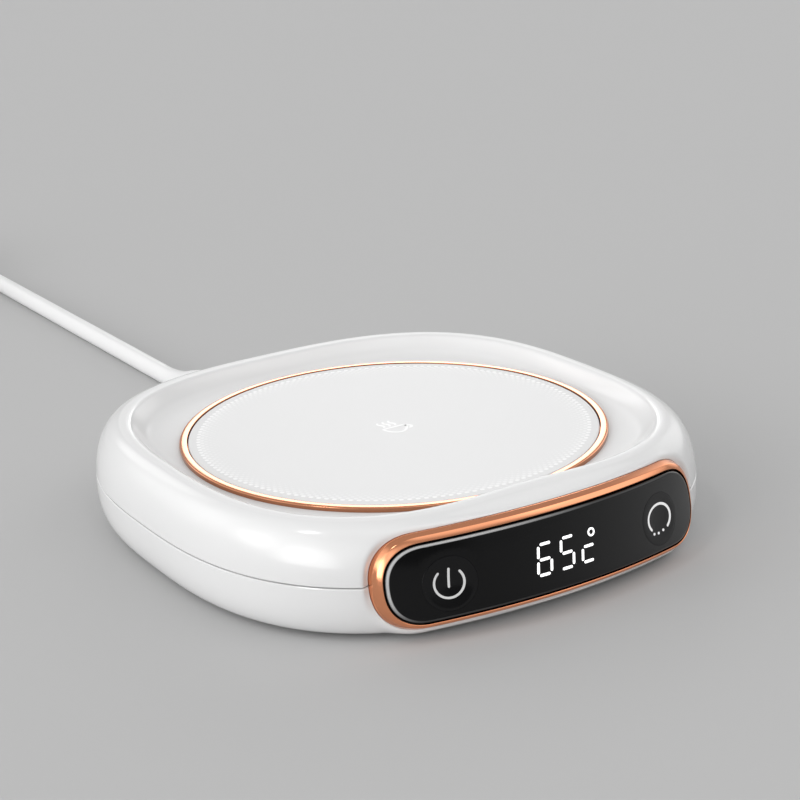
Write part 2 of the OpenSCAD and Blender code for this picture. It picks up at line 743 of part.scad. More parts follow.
module display_board_screws() {
    color("silver") on_panel() at_carrier_screws() translate([0, 0, -board_t])
        raised_screw(0, board_t + carrier_boss_h - 2 * SINK, board_head_r, board_head_h, board_screw_r);
}
// The ribbon leaves the display board's plug, and ends at its own socket on the main board
module display_ribbon() {
    mid = display_plug_size.y / 2;
    ribbon_start = [panel_y - display_plug_low * cos(panel_lean) - mid * sin(panel_lean) + TOUCH,
        panel_z + display_plug_low * sin(panel_lean) - mid * cos(panel_lean)];
    end = [main_front, main_top + ribbon_socket.z / 2];
    bend = [(2 * ribbon_start.x + end.x) / 3, end.y - ribbon_t];
    up = [0, ribbon_t];
    color("lightsteelblue") rotate([90, 0, 90]) translate([0, 0, -ribbon_w / 2])
        linear_extrude(ribbon_w)
            polygon([ribbon_start, bend, end, end + up, bend + up, ribbon_start + up]);
}

module main_board() {
    color("seagreen") difference() {
        translate([-main_w / 2, main_front, main_z]) cube([main_w, main_back - main_front, board_t]);
        at_standoffs() post(0, 0, main_z - SINK, main_top + SINK, board_screw_r + 2 * SLIP);
    }
}
// A board part: its middle in X, its distance from the board's front edge, and its size
module part_box(x, y, size) {
    translate([x - size.x / 2, main_front + y, main_top]) cube(size);
}
module part_bar(x, y, r, len) {
    translate([x - len / 2, main_front + y, main_top + r]) rotate([0, 90, 0]) cylinder(r = r, h = len);
}
module main_board_parts() {
    side = main_w / 2;
    color("#c9a227") part_box(filter_cap_at.x - side, filter_cap_at.y, filter_cap);
    color("black") part_box(side - triac_at.x, triac_at.y, triac);
    color("navy") part_bar(side - smoothing_at.x, smoothing_at.y, smoothing_r, smoothing_len);
    color("black") part_box(0, chip_back, chip);
    color("ivory") part_box(0, 0, ribbon_socket);
    color("tan") part_bar(fuse_link_at.x - side, fuse_link_at.y, fuse_link_r, fuse_len);
}
module main_board_screws() {
    color("silver") at_standoffs() {
        post(0, 0, main_top, main_top + board_head_h, board_head_r);
        post(0, 0, floor_z - SINK / 2, main_top + board_head_h / 2, board_screw_r);
    }
}
module terminal_block() {
    color("royalblue") difference() {
        part_box(0, terminals_y, terminals);
        for (x = [-terminals.x / 5, terminals.x / 5])
            post(x, main_front + terminals_y + terminals.y / 2, main_top + terminals.z - 1.6,
                main_top + terminals.z + SINK, 1.5);
    }
}
module mains_wires() {
    start = main_front + terminals_y + terminals.y;
    color("sienna") for (x = [-core_x, core_x]) translate([x, 0, 0])
        along_exit(start, entry_y, core_r, core_r);
}
module cord_clamp() {
    color("white") difference() {
        translate([-clamp_len / 2, clamp_y - clamp_w / 2, exit_z + 2 * SLIP])
            cube([clamp_len, clamp_w, cord_r + clamp_over]);
        along_exit(clamp_y - clamp_w, clamp_y + clamp_w, cord_r + SLIP, cord_r + SLIP);
        at_clamp_screws() post(0, 0, exit_z - SINK, exit_z + 2 * cord_r, board_screw_r + 2 * SLIP);
    }
}
module clamp_screws() {
    top = exit_z + 2 * SLIP + cord_r + clamp_over;
    color("silver") at_clamp_screws() {
        post(0, 0, top, top + board_head_h, board_head_r);
        post(0, 0, floor_z + SINK + SLIP, top + board_head_h / 2, board_screw_r);
    }
}
module cord_entry() {
    color("white") along_exit(entry_y, relief_end, cord_r, cord_r);
}
module strain_relief() {
    inside = body_back - wall;
    color("white") difference() {
        union() {
            along_exit(inside - 1.9, inside - 4 * SLIP, relief_r, relief_r);
            along_exit(inside - SINK, body_back, relief_neck, relief_neck);
            along_exit(body_back - relief_seat + TOUCH, body_back + relief_lip, relief_r, relief_r);
            along_exit(body_back + relief_lip - SLIP, relief_end, relief_r - SLIP, cord_r + 0.6);
        }
        along_exit(entry_y, relief_end + SINK, cord_r + SLIP, cord_r + SLIP);
        for (i = [1:relief_ribs], side = [0, 180])
            translate([0, body_back + SINK + i * rib_step, exit_z]) rotate([0, side, 0])
                translate([-relief_r, 0, cord_r + 0.4]) cube([2 * relief_r, rib_gap, relief_r]);
    }
}

// Lead: a tube through its points, a coil of its outer shape and a tie
function ring_at(path, i) =
    let (n = len(path), t = unit(path[min(i + 1, n - 1)] - path[max(i - 1, 0)]),
        side = unit(cross(t, [0, 0, 1])), up = cross(side, t))
    [for (k = [1:CORD_SIDES]) let (a = 360 / CORD_SIDES * k)
        path[i] + cord_r * (side * cos(a) + up * sin(a))];
module cord_tube(path) {
    capped_skin([for (i = [0:len(path) - 1]) ring_at(path, i)]);
}
module power_cord() {
    color("white") {
        cord_tube(cord_path);
        cord_tube(tail_path);
    }
}
module cord_coil() {
    color("white") translate([coil_x, coil_y, coil_z]) rotate_extrude()
        translate([coil_r - coil_wide / 2, 0]) square([coil_wide, coil_high]);
}
module coil_tie() {
    inner = [tie_w + 2, coil_wide + 2 * tie_gap, coil_high + SLIP];
    outer = [tie_w, inner.y + 2 * tie_t, coil_z + coil_high + SLIP + tie_t];
    color("white") translate([coil_x, coil_y + coil_r, 0]) difference() {
        translate([-outer.x / 2, -outer.y / 2, 0]) cube(outer);
        translate([-inner.x / 2, -inner.y / 2, coil_z - TOUCH]) cube(inner);
    }
}
module plug_outline(r) {
    square([plug_w - 2 * r, plug_t], center = true);
    square([plug_w, plug_t - 2 * r], center = true);
    for (x = [-1, 1], y = [-1, 1])
        translate([x * (plug_w / 2 - r), y * (plug_t / 2 - r)]) circle(r = r, $fn = 32);
}
module plug_body() {
    color("white") translate([plug_x, plug_y, plug_t / 2]) rotate([90, 0, 0]) {
        translate([0, 0, plug_neck - SINK]) linear_extrude(plug_len + SINK) plug_outline(plug_round);
        cylinder(r1 = cord_r + 0.6, r2 = cord_d + 0.5, h = plug_neck);
    }
}
module plug_blades() {
    front = plug_y - plug_neck - plug_len;
    color("silver") for (s = [-1, 1])
        translate([plug_x + s * blade_gap / 2, front, plug_t / 2]) difference() {
            translate([-blade_t / 2, -blade_len, -blade_w / 2]) cube([blade_t, blade_len, blade_w]);
            translate([-SINK - blade_t / 2, blade_hole_in - blade_len, 0]) rotate([0, 90, 0])
                cylinder(r = blade_hole_r, h = blade_t + 2 * SINK);
        }
}
module rubber_feet() {
    color("gray") at_corners() post(0, 0, 0, foot_h + foot_seat - TOUCH, foot_r);
}
module housing_screws() {
    color("silver") at_corners() raised_screw(head_seat - TOUCH, screw_tip, head_r, head_h, screw_r);
}

upper_housing();
lower_housing();
plate_ring();
glass_plate();
plate_seal();
spreader_plate();
heating_element();
insulation_pad();
heater_tray();
tray_screws();
thermistor();
thermal_fuse();
heater_leads();
panel_bezel();
panel_lens();
panel_carrier();
power_key();
mode_key();
key_switches();
display_board();
led_display();
display_plug();
display_board_screws();
display_ribbon();
main_board();
main_board_parts();
main_board_screws();
terminal_block();
mains_wires();
cord_clamp();
clamp_screws();
cord_entry();
strain_relief();
power_cord();
cord_coil();
coil_tie();
plug_body();
plug_blades();
rubber_feet();
housing_screws();
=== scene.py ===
"""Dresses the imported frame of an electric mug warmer: housings, hot plate, panel, keys and lead.

Sizes are in millimetres until a mesh is made in metres, and heights count up from the table.
"""

import logging
import math
from dataclasses import dataclass, field
from enum import Enum
from typing import Any, Callable, Iterable, Optional, Sequence, Union

import bmesh
import bpy
from mathutils import Matrix, Vector


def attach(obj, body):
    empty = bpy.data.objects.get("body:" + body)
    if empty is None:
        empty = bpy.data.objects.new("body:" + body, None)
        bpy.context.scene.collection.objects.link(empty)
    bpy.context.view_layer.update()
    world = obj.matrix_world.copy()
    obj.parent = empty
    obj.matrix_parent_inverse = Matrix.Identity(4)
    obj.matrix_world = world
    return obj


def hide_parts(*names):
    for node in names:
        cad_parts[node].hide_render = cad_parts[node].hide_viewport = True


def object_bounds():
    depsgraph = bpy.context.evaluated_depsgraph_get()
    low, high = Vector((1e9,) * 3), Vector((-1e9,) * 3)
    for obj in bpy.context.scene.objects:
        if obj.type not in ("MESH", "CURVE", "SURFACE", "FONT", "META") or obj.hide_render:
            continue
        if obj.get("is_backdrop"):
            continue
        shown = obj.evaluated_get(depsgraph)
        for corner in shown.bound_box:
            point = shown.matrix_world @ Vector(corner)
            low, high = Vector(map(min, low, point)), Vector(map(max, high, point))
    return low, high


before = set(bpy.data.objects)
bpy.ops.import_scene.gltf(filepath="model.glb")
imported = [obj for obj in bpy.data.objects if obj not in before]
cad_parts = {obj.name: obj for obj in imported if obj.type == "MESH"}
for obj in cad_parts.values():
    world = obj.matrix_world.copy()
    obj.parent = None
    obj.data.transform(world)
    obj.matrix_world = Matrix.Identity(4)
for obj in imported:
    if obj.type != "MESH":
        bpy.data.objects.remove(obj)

CAD_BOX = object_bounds()
MM = 0.001
WELD = 1e-6
SHARP = 35.0
TAU = 2 * math.pi
LOG = logging.getLogger("mug_warmer")

Span = tuple[float, float]
Flat = tuple[float, float]
Point = tuple[float, float, float]
Color = tuple[float, float, float, float]
Number = Union[int, float]
Term = Union["Signal", Number]
Tint = Union["Signal", Color]
Place = Callable[[float, float, float], Point]


def rgb(red: float, green: float, blue: float) -> Color:
    """Gives a linear colour with full alpha."""
    return (red, green, blue, 1.0)


def grey(level: float) -> Color:
    """Gives a neutral linear colour."""
    return rgb(level, level, level)


def shade(color: Color, factor: float) -> Color:
    """Gives a colour times a factor, with full alpha."""
    red, green, blue = (part * factor for part in color[:3])
    return rgb(red, green, blue)


# ---------------------------------------------------------------- shader nodes


class Signal:
    """A shader socket that can be used in Python arithmetic."""

    def __init__(self, nodes: "Nodes", socket: bpy.types.NodeSocket) -> None:
        """Keeps the output socket and the tree that its Math nodes are added to."""
        self.nodes = nodes
        self.socket = socket

    def math(self, operation: str, *others: Term) -> "Signal":
        """Adds a Math node that takes this value first and the others in order."""
        inputs = dict(enumerate((self, *others)))
        return self.nodes.value("ShaderNodeMath", {"operation": operation}, inputs)

    def __add__(self, other: Term) -> "Signal":
        """Adds."""
        return self.math("ADD", other)

    __radd__ = __add__

    def __mul__(self, other: Term) -> "Signal":
        """Multiplies."""
        return self.math("MULTIPLY", other)

    __rmul__ = __mul__

    def __sub__(self, other: Term) -> "Signal":
        """Subtracts."""
        return self.math("SUBTRACT", other)

    def __rsub__(self, other: Number) -> "Signal":
        """Subtracts from a number."""
        return (self * -1) + other

    def __truediv__(self, other: Term) -> "Signal":
        """Divides."""
        return self.math("DIVIDE", other)

    def __pow__(self, other: Number) -> "Signal":
        """Raises to a power."""
        return self.math("POWER", other)

    def __abs__(self) -> "Signal":
        """Drops the sign."""
        return self.math("ABSOLUTE")

    def __floor__(self) -> "Signal":
        """Rounds down."""
        return self.math("FLOOR")

    def at_least(self, other: Term) -> "Signal":
        """Takes the higher of two values."""
        return self.math("MAXIMUM", other)

    def ramp(self, low: Term, high: Term) -> "Signal":
        """Rises smoothly from 0 at low to 1 at high.

        Args:
            low: the value that gives 0.
            high: the value that gives 1.

        Returns:
            The smoothed step.
        """
        settings = {"interpolation_type": "SMOOTHSTEP"}
        inputs = {"Value": self, "From Min": low, "From Max": high, "To Min": 0.0, "To Max": 1.0}
        return self.nodes.value("ShaderNodeMapRange", settings, inputs)


def length(x: Signal, y: Signal) -> Signal:
    """Gives the length of a flat vector."""
    return (x * x + y * y) ** 0.5


class Nodes:
    """The node tree of one material or of the world."""

    def __init__(self, name: str, world: Optional[bpy.types.World] = None) -> None:
        """Starts with an empty tree.

        Args:
            name: the material's name.
            world: the world, where the nodes are its own.
        """
        self.owner = world or bpy.data.materials.new(name)
        self.owner.use_nodes = True
        self.tree = self.owner.node_tree
        self.tree.nodes.clear()

    def add(
        self,
        kind: str,
        settings: Optional[dict[str, Any]] = None,
        inputs: Optional[dict[Union[str, int], Any]] = None,
    ) -> bpy.types.Node:
        """Adds a node: its settings first, then its inputs.

        Args:
            kind: the node's type.
            settings: attributes of the node.
            inputs: values or signals for its sockets, by name or by number.

        Returns:
            The new node.
        """
        node = self.tree.nodes.new(kind)
        for key, value in (settings or {}).items():
            setattr(node, key, value)
        for key, value in (inputs or {}).items():
            if isinstance(value, Signal):
                self.tree.links.new(value.socket, node.inputs[key])
            else:
                node.inputs[key].default_value = value
        return node

    def value(
        self,
        kind: str,
        settings: Optional[dict[str, Any]] = None,
        inputs: Optional[dict[Union[str, int], Any]] = None,
        output: Union[str, int] = 0,
    ) -> Signal:
        """Adds a node and gives one of its outputs, by name or by number."""
        return Signal(self, self.add(kind, settings, inputs).outputs[output])

    def place(self) -> Signal:
        """Gives the point on the object, in metres, in the shared frame."""
        return self.value("ShaderNodeTexCoord", output="Object")

    def stretched(self, scale: Point) -> Signal:
        """Gives the point on the object, scaled along each axis."""
        inputs = {0: self.place(), 1: scale}
        return self.value("ShaderNodeVectorMath", {"operation": "MULTIPLY"}, inputs)

    def axes(self) -> tuple[Signal, ...]:
        """Gives the point's x, y and z, in millimetres."""
        split = self.add("ShaderNodeSeparateXYZ", None, {0: self.place()}).outputs
        return tuple(Signal(self, split[i]) * (1 / MM) for i in range(3))

    def upright(self) -> Signal:
        """Gives how far the skin faces up: 1 where it is level and 0 where it stands."""
        normal = self.value("ShaderNodeTexCoord", output="Normal")
        return self.value("ShaderNodeSeparateXYZ", None, {0: normal}, 2)

    def noise(self, scale: float, detail: float, vector: Optional[Signal] = None) -> Signal:
        """Gives noise from 0 to 1, by its cells in a metre and its octaves."""
        inputs = {"Vector": vector or self.place(), "Scale": scale, "Detail": detail}
        return self.value("ShaderNodeTexNoise", None, inputs, "Fac")

    def blend(self, mask: Signal, low: Tint, high: Tint) -> Signal:
        """Mixes two colours: a mask of 0 gives low and 1 gives high."""
        inputs = {"Factor": mask, 6: low, 7: high}
        return self.value("ShaderNodeMix", {"data_type": "RGBA"}, inputs, 2)

    def bump(self, height: Signal, depth_mm: float, strength: float) -> Signal:
        """Turns a height from 0 to 1 into a normal, where 1 stands depth_mm proud."""
        inputs = {"Height": height, "Distance": depth_mm * MM, "Strength": strength}
        return self.value("ShaderNodeBump", None, inputs)

    def finish(self, **sockets: Any) -> bpy.types.Material:
        """Ends the material in one Principled shader.

        Args:
            sockets: its inputs, with an underscore for each space.

        Returns:
            The material.
        """
        inputs = {name.replace("_", " "): value for name, value in sockets.items()}
        shader = self.value("ShaderNodeBsdfPrincipled", None, inputs)
        self.add("ShaderNodeOutputMaterial", None, {"Surface": shader})
        return self.owner


# ---------------------------------------------------------------- finishes


@dataclass(frozen=True)
class Moulded:
    """Moulded plastic: a skin that is smooth or finely sparked, with slight flow in its tone.

    Where satin_below is a height in millimetres, level skin loses its gloss: wholly on the floor
    below that height, and by satin_share on a flat crest above it.
    """

    name: str
    color: Color
    roughness: float = 0.2
    grain_mm: float = 0.0
    coat: float = 0.0
    flow: float = 0.02
    satin_below: Optional[float] = None
    satin_fade: float = 0.9
    satin_rough: float = 0.3
    satin_share: float = 0.75
    floor_level: Span = (0.86, 0.95)
    crest_level: Span = (0.955, 0.985)
    flow_rough: float = 0.05
    fine_rough: float = 0.03
    flow_cells: float = 38.0
    fine_cells: float = 2600.0
    wave_cells: float = 160.0
    wave_mm: float = 0.01

    def _satin(self, nodes: Nodes) -> Term:
        """Masks the skin that is satin.

        Args:
            nodes: the material's nodes.

        Returns:
            1 on the level floor, less on a level crest, else 0.
        """
        if self.satin_below is None:
            return 0.0
        upright = nodes.upright()
        low = nodes.axes()[2].ramp(self.satin_below + self.satin_fade, self.satin_below)
        crest = upright.ramp(*self.crest_level) * self.satin_share
        return (low * upright.ramp(*self.floor_level)).at_least(crest)

    def material(self) -> bpy.types.Material:
        """Builds the material.

        Returns:
            The material.
        """
        nodes = Nodes(self.name)
        flow = nodes.noise(self.flow_cells, 3.0)
        fine = nodes.noise(self.fine_cells, 2.0)
        satin = self._satin(nodes)
        varied = flow * self.flow_rough + fine * self.fine_rough + satin * self.satin_rough
        if self.grain_mm:
            normal = nodes.bump(fine, self.grain_mm, 0.5)
        else:
            normal = nodes.bump(nodes.noise(self.wave_cells, 1.0), self.wave_mm, 0.25)
        return nodes.finish(
            Base_Color=nodes.blend(flow, shade(self.color, 1 - 2 * self.flow), self.color),
            Roughness=varied + (self.roughness - (self.flow_rough + self.fine_rough) / 2),
            Normal=normal,
            Coat_Weight=(1.0 - satin) * self.coat,
            Coat_Roughness=0.03,
            IOR=1.49,
        )


@dataclass(frozen=True)
class Plated:
    """Polished or brushed metal: faint lines round the part, haze, and painted shade that darkens
    its steep sides.
    """

    name: str
    color: Color
    roughness: float = 0.14
    lines: float = 0.05
    centre_y: float = 0.0
    side_shade: float = 1.0
    side_shade_turn: Span = (0.85, 0.45)
    haze: float = 0.04
    haze_tone: float = 0.93
    haze_cells: float = 60.0
    turning: Span = (9.0, 7.0)
    line_mm: float = 0.004

    def material(self) -> bpy.types.Material:
        """Builds the material.

        Returns:
            The material.
        """
        nodes = Nodes(self.name)
        x, y, z = nodes.axes()
        across = length(x, y - self.centre_y) * self.turning[0] + z * self.turning[1]
        inputs = {"W": across, "Scale": 2.0, "Detail": 3.0}
        lines = nodes.value("ShaderNodeTexNoise", {"noise_dimensions": "1D"}, inputs)
        haze = nodes.noise(self.haze_cells, 3.0)
        tone = nodes.blend(haze, shade(self.color, self.haze_tone), self.color)
        # Painted shade: the colour darkens where the skin stands steep, as though those faces
        # caught less light.
        if self.side_shade < 1.0:
            steep = nodes.upright().ramp(*self.side_shade_turn)
            tone = nodes.blend(steep, tone, shade(self.color, self.side_shade))
        smoothest = self.roughness - self.lines / 2 - self.haze / 2
        return nodes.finish(
            Base_Color=tone,
            Metallic=1.0,
            Roughness=lines * self.lines + haze * self.haze + smoothest,
            Normal=nodes.bump(lines, self.line_mm, 0.25),
        )


@dataclass(frozen=True)
class DottedGlass:
    """White glass with rows of raised dots printed round its rim, paler row by row."""

    name: str
    color: Color
    dot_color: Color
    centre_y: float
    outer_row: float
    row_step: float = 0.84
    rows: int = 6
    dots_round: int = 160
    dot_r: float = 0.49
    dot_shrink: float = 0.06
    dot_blur: float = 0.05
    dot_mm: float = 0.02
    dot_rough: float = 0.1
    border: Span = (41.2, 42.4)
    border_tone: float = 0.955
    cloud_cells: float = 45.0
    cloud_tone: float = 0.985
    cloud_rough: float = 0.03
    roughness: float = 0.5

    def _dots(self, x: Signal, y: Signal, radius: Signal) -> Signal:
        """Masks the dots, staggered from row to row.

        Args:
            x: the distance from the plate's axis along x.
            y: the distance from it along y.
            radius: the distance from it.

        Returns:
            1 on a dot of the outer row, less on each row inside it, else 0.
        """
        from_outside = (self.outer_row + self.row_step / 2 - radius) / self.row_step
        row = math.floor(from_outside)
        across = (from_outside - row - 0.5) * self.row_step
        turn = y.math("ARCTAN2", x) * (self.dots_round / TAU) + row * 0.5
        along = (turn - math.floor(turn) - 0.5) * radius * (TAU / self.dots_round)
        size = row * -self.dot_shrink + self.dot_r
        away = length(across, along)
        in_rows = row.math("GREATER_THAN", -0.5) * row.math("LESS_THAN", self.rows - 0.5)
        fade = (row.at_least(0.0) + 1) ** -1.0
        return away.ramp(size + self.dot_blur, size - self.dot_blur) * in_rows * fade

    def material(self) -> bpy.types.Material:
        """Builds the material.

        Returns:
            The material.
        """
        nodes = Nodes(self.name)
        x, y, _ = nodes.axes()
        y = y - self.centre_y
        radius = length(x, y)
        mask = self._dots(x, y, radius)
        cloud = nodes.noise(self.cloud_cells, 2.0)
        clouded = nodes.blend(cloud, shade(self.color, self.cloud_tone), self.color)
        border = shade(self.color, self.border_tone)
        plain = nodes.blend(radius.ramp(*self.border), clouded, border)
        return nodes.finish(
            Base_Color=nodes.blend(mask, plain, self.dot_color),
            Roughness=cloud * self.cloud_rough + mask * self.dot_rough + self.roughness,
            Normal=nodes.bump(mask, self.dot_mm, 0.3),
            IOR=1.45,
        )


@dataclass(frozen=True)
class SmokedPanel:
    """Clear plastic over black, clearer to its right, with a painted highlight along its rounded
    edge where it has one.
    """

    name: str
    color: Color
    roughness: float = 0.09
    clear_end: float = 0.3
    clear_x: Span = (-20.0, 44.0)
    highlight_of: Optional["PanelFrame"] = None
    highlight_color: Color = grey(0.5)
    highlight_at: float = 0.34
    highlight_width: Span = (0.3, 0.105)
    highlight_fade_x: Span = (12.0, -22.0)
    highlight_fade_up: Span = (-8.5, -1.0)
    haze: float = 0.04
    haze_tone: float = 1.25
    haze_cells: float = 70.0
    ripple_cells: float = 90.0
    ripple_mm: float = 0.006

    def _edge(self, nodes: Nodes, shape: "PanelFrame") -> Signal:
        """Masks the painted highlight on the lens's rounded edge.

        Args:
            nodes: the material's nodes.
            shape: the panel whose outline the edge follows.

        Returns:
            1 on the painted highlight at the left and along the top, else 0.
        """
        x, y, z = nodes.axes()
        lean, full = math.radians(shape.lean), shape.end_full
        up = (y - shape.middle_y) * math.sin(lean) + (z - shape.middle_z) * math.cos(lean)
        up = up + shape.lens_drop
        straight = shape.half_length - shape.half_height
        over = (abs(x - shape.middle_x) - straight).at_least(0.0)
        reach = (over ** full + abs(up) ** full) ** (1 / full)
        rim = shape.half_height - shape.lens_in
        edge = abs(reach - (rim - self.highlight_at)).ramp(*self.highlight_width)
        return edge * x.ramp(*self.highlight_fade_x) * up.ramp(*self.highlight_fade_up)

    def material(self) -> bpy.types.Material:
        """Builds the material.

        Returns:
            The material.
        """
        nodes = Nodes(self.name)
        haze = nodes.noise(self.haze_cells, 3.0)
        ripple = nodes.noise(self.ripple_cells, 1.0)
        base = nodes.blend(haze, self.color, shade(self.color, self.haze_tone))
        if self.highlight_of:
            # Paints a highlight streak into the colour along the lens's edge, strongest at the left
            # and along the top.
            base = nodes.blend(self._edge(nodes, self.highlight_of), base, self.highlight_color)
        return nodes.finish(
            Base_Color=base,
            Roughness=haze * self.haze + (self.roughness - self.haze / 2),
            Normal=nodes.bump(ripple, self.ripple_mm, 0.25),
            IOR=1.3,
            Coat_Weight=nodes.axes()[0].ramp(*self.clear_x) * self.clear_end,
            Coat_Roughness=0.06,
            Coat_IOR=1.8,
        )


@dataclass(frozen=True)
class Lit:
    """Light that shows through the panel, with a fine grain."""

    name: str
    level: float
    strength: float = 1.1
    grain_tone: float = 0.93
    grain_cells: float = 900.0

    def material(self) -> bpy.types.Material:
        """Builds the material.

        Returns:
            The material.
        """
        nodes, color = Nodes(self.name), grey(self.level)
        grain = nodes.noise(self.grain_cells, 2.0)
        glow = nodes.blend(grain, shade(color, self.grain_tone), color)
        return nodes.finish(
            Base_Color=glow,
            Roughness=0.35,
            Emission_Color=glow,
            Emission_Strength=self.strength,
        )


@dataclass(frozen=True)
class Board:
    """Circuit board: solder mask with tracks showing through it."""

    name: str
    color: Color
    track: Color
    track_cells: float = 260.0
    track_edge: Span = (0.52, 0.58)
    track_mm: float = 0.03

    def material(self) -> bpy.types.Material:
        """Builds the material.

        Returns:
            The material.
        """
        nodes = Nodes(self.name)
        settings = {"distance": "MANHATTAN", "feature": "F1"}
        inputs = {"Vector": nodes.place(), "Scale": self.track_cells}
        cells = nodes.value("ShaderNodeTexVoronoi", settings, inputs)
        tracks = cells.ramp(*self.track_edge)
        return nodes.finish(
            Base_Color=nodes.blend(tracks, self.color, self.track),
            Roughness=tracks * -0.1 + 0.42,
            Normal=nodes.bump(tracks, self.track_mm, 0.6),
            IOR=1.5,
        )


@dataclass(frozen=True)
class Felted:
    """Pressed fibre: mottled and dull."""

    name: str
    color: Color
    fibre_mm: float = 0.12
    fibre_tone: float = 0.75
    fibre_cells: Point = (900.0, 2200.0, 900.0)

    def material(self) -> bpy.types.Material:
        """Builds the material.

        Returns:
            The material.
        """
        nodes = Nodes(self.name)
        fibre = nodes.noise(1.0, 4.0, nodes.stretched(self.fibre_cells))
        return nodes.finish(
            Base_Color=nodes.blend(fibre, shade(self.color, self.fibre_tone), self.color),
            Roughness=0.95,
            Normal=nodes.bump(fibre, self.fibre_mm, 0.8),
        )


@dataclass(frozen=True)
class StudioPaper:
    """Plain pale floor paper, without gloss."""

    name: str
    color: Color
    fibre_tone: float = 0.995
    fibre_cells: float = 9.0

    def material(self) -> bpy.types.Material:
        """Builds the material.

        Returns:
            The material.
        """
        nodes = Nodes(self.name)
        fibre = nodes.noise(self.fibre_cells, 2.0)
        return nodes.finish(
            Base_Color=nodes.blend(fibre, shade(self.color, self.fibre_tone), self.color),
            Roughness=0.9,
            Specular_IOR_Level=0.0,
        )


# ---------------------------------------------------------------- meshes


def spread(low: float, high: float, count: int) -> list[float]:
    """Gives values from low to high in a number of equal steps."""
    return [low + (high - low) * i / count for i in range(count + 1)]


def between(start: Flat, end: Flat, count: int) -> list[Flat]:
    """Gives points along a straight line, in a number of equal steps."""
    return list(zip(spread(start[0], end[0], count), spread(start[1], end[1], count)))


def circle(count: int) -> list[Flat]:
    """Gives a number of points round the unit circle."""
    return [(math.cos(TAU * i / count), math.sin(TAU * i / count)) for i in range(count)]


def squircle(a: float, w: float, d: float, n: float) -> float:
    """Gives a superellipse's distance from its middle at angle a."""
    return (abs(math.cos(a) / w) ** n + abs(math.sin(a) / d) ** n) ** (-1 / n)


def unit(x: float, y: float) -> Flat:
    """Gives the direction of a flat vector."""
    size = math.hypot(x, y)
    return x / size, y / size


def hold(value: float) -> float:
    """Holds a value between 0 and 1."""
    return min(max(value, 0.0), 1.0)


def arc(x: float, y: float, rx: float, ry: float, start: float, end: float,
        steps: int = 40) -> list[Flat]:
    """Gives points along an oval arc about x and y, between two angles in degrees."""
    angles = [math.radians(a) for a in spread(start, end, steps)]
    return [(x + rx * math.cos(a), y + ry * math.sin(a)) for a in angles]


class Ends(Enum):
    """How a shell through rings of points closes."""

    CAPPED = "a flat face at each end"
    JOINED = "the last ring back to the first"
    STRIPS = "rungs across a long outline at each end"


class Skin:
    """Points and faces of one mesh, gathered shell by shell, in millimetres."""

    def __init__(self) -> None:
        """Starts empty."""
        self.points: list[Point] = []
        self.faces: list[tuple[int, ...]] = []

    def rings(self, rings: Sequence[Sequence[Point]], ends: Ends = Ends.CAPPED,
              rungs: Optional[Sequence[tuple[int, ...]]] = None) -> "Skin":
        """Adds a shell through rings of points.

        Args:
            rings: the rings, each with the same number of points.
            ends: how the shell closes.
            rungs: for strips, the faces across one ring.

        Returns:
            This skin.
        """
        first, count, last = len(self.points), len(rings[0]), len(rings) - 1
        for ring in rings:
            self.points.extend(tuple(p) for p in ring)
        spans = [(j, j + 1) for j in range(last)] + ([(last, 0)] if ends is Ends.JOINED else [])
        for low, high in spans:
            for i in range(count):
                k = (i + 1) % count
                a, b = first + low * count, first + high * count
                self.faces.append((a + i, a + k, b + k, b + i))
        if ends is Ends.CAPPED:
            self.faces.append(tuple(first + i for i in reversed(range(count))))
            self.faces.append(tuple(first + last * count + i for i in range(count)))
        if ends is Ends.STRIPS:
            for rung in rungs or ():
                self.faces.append(tuple(first + i for i in reversed(rung)))
                self.faces.append(tuple(first + last * count + i for i in rung))
        return self

    def lathe(self, profile: Sequence[Flat], at: Point = (0.0, 0.0, 0.0),
              segments: int = 96, along_y: bool = False, closed: bool = False) -> "Skin":
        """Adds a turned shell.

        Args:
            profile: radius and height of each step; a radius of 0 starts and ends a solid one.
            at: where its axis stands.
            segments: faces round it.
            along_y: whether the axis runs along y and not z.
            closed: whether the profile returns to its start, as on a ring.

        Returns:
            This skin.
        """
        rings = []
        for radius, height in profile:
            ring = []
            for c, s in circle(segments):
                u, v = c * radius, s * radius
                offset = (u, height, v) if along_y else (u, v, height)
                ring.append(tuple(a + o for a, o in zip(at, offset)))
            rings.append(ring)
        return self.rings(rings, Ends.JOINED if closed else Ends.CAPPED)

    def box(self, low: Point, high: Point) -> "Skin":
        """Adds a block between its lowest and its highest corner."""
        square = [(low[0], low[1]), (high[0], low[1]), (high[0], high[1]), (low[0], high[1])]
        return self.rings([[(x, y, z) for x, y in square] for z in (low[2], high[2])])

    def piece(self, name: str, sharp: float = SHARP) -> bpy.types.Object:
        """Makes the object: in metres, faces outward, smooth except at sharp edges.

        Args:
            name: the piece's name.
            sharp: edges sharper than this many degrees stay crisp.

        Returns:
            The object, linked to the scene.
        """
        mesh = bpy.data.meshes.new(name)
        mesh.from_pydata([Vector(p) * MM for p in self.points], [], self.faces)
        work = bmesh.new()
        work.from_mesh(mesh)
        bmesh.ops.remove_doubles(work, verts=work.verts, dist=WELD)
        bmesh.ops.dissolve_degenerate(work, edges=work.edges, dist=WELD / 10)
        bmesh.ops.recalc_face_normals(work, faces=work.faces)
        work.to_mesh(mesh)
        work.free()
        piece = bpy.data.objects.new(name, mesh)
        bpy.context.scene.collection.objects.link(piece)
        soften(piece, sharp)
        return piece


def soften(piece: bpy.types.Object, sharp: float = SHARP) -> None:
    """Shades a piece smooth, with crisp edges where it bends more than some degrees.

    Args:
        piece: the piece.
        sharp: the bend, in degrees, above which an edge stays crisp.
    """
    piece.data.polygons.foreach_set("use_smooth", [True] * len(piece.data.polygons))
    piece.data.set_sharp_from_angle(angle=math.radians(sharp))
    piece.data.update()


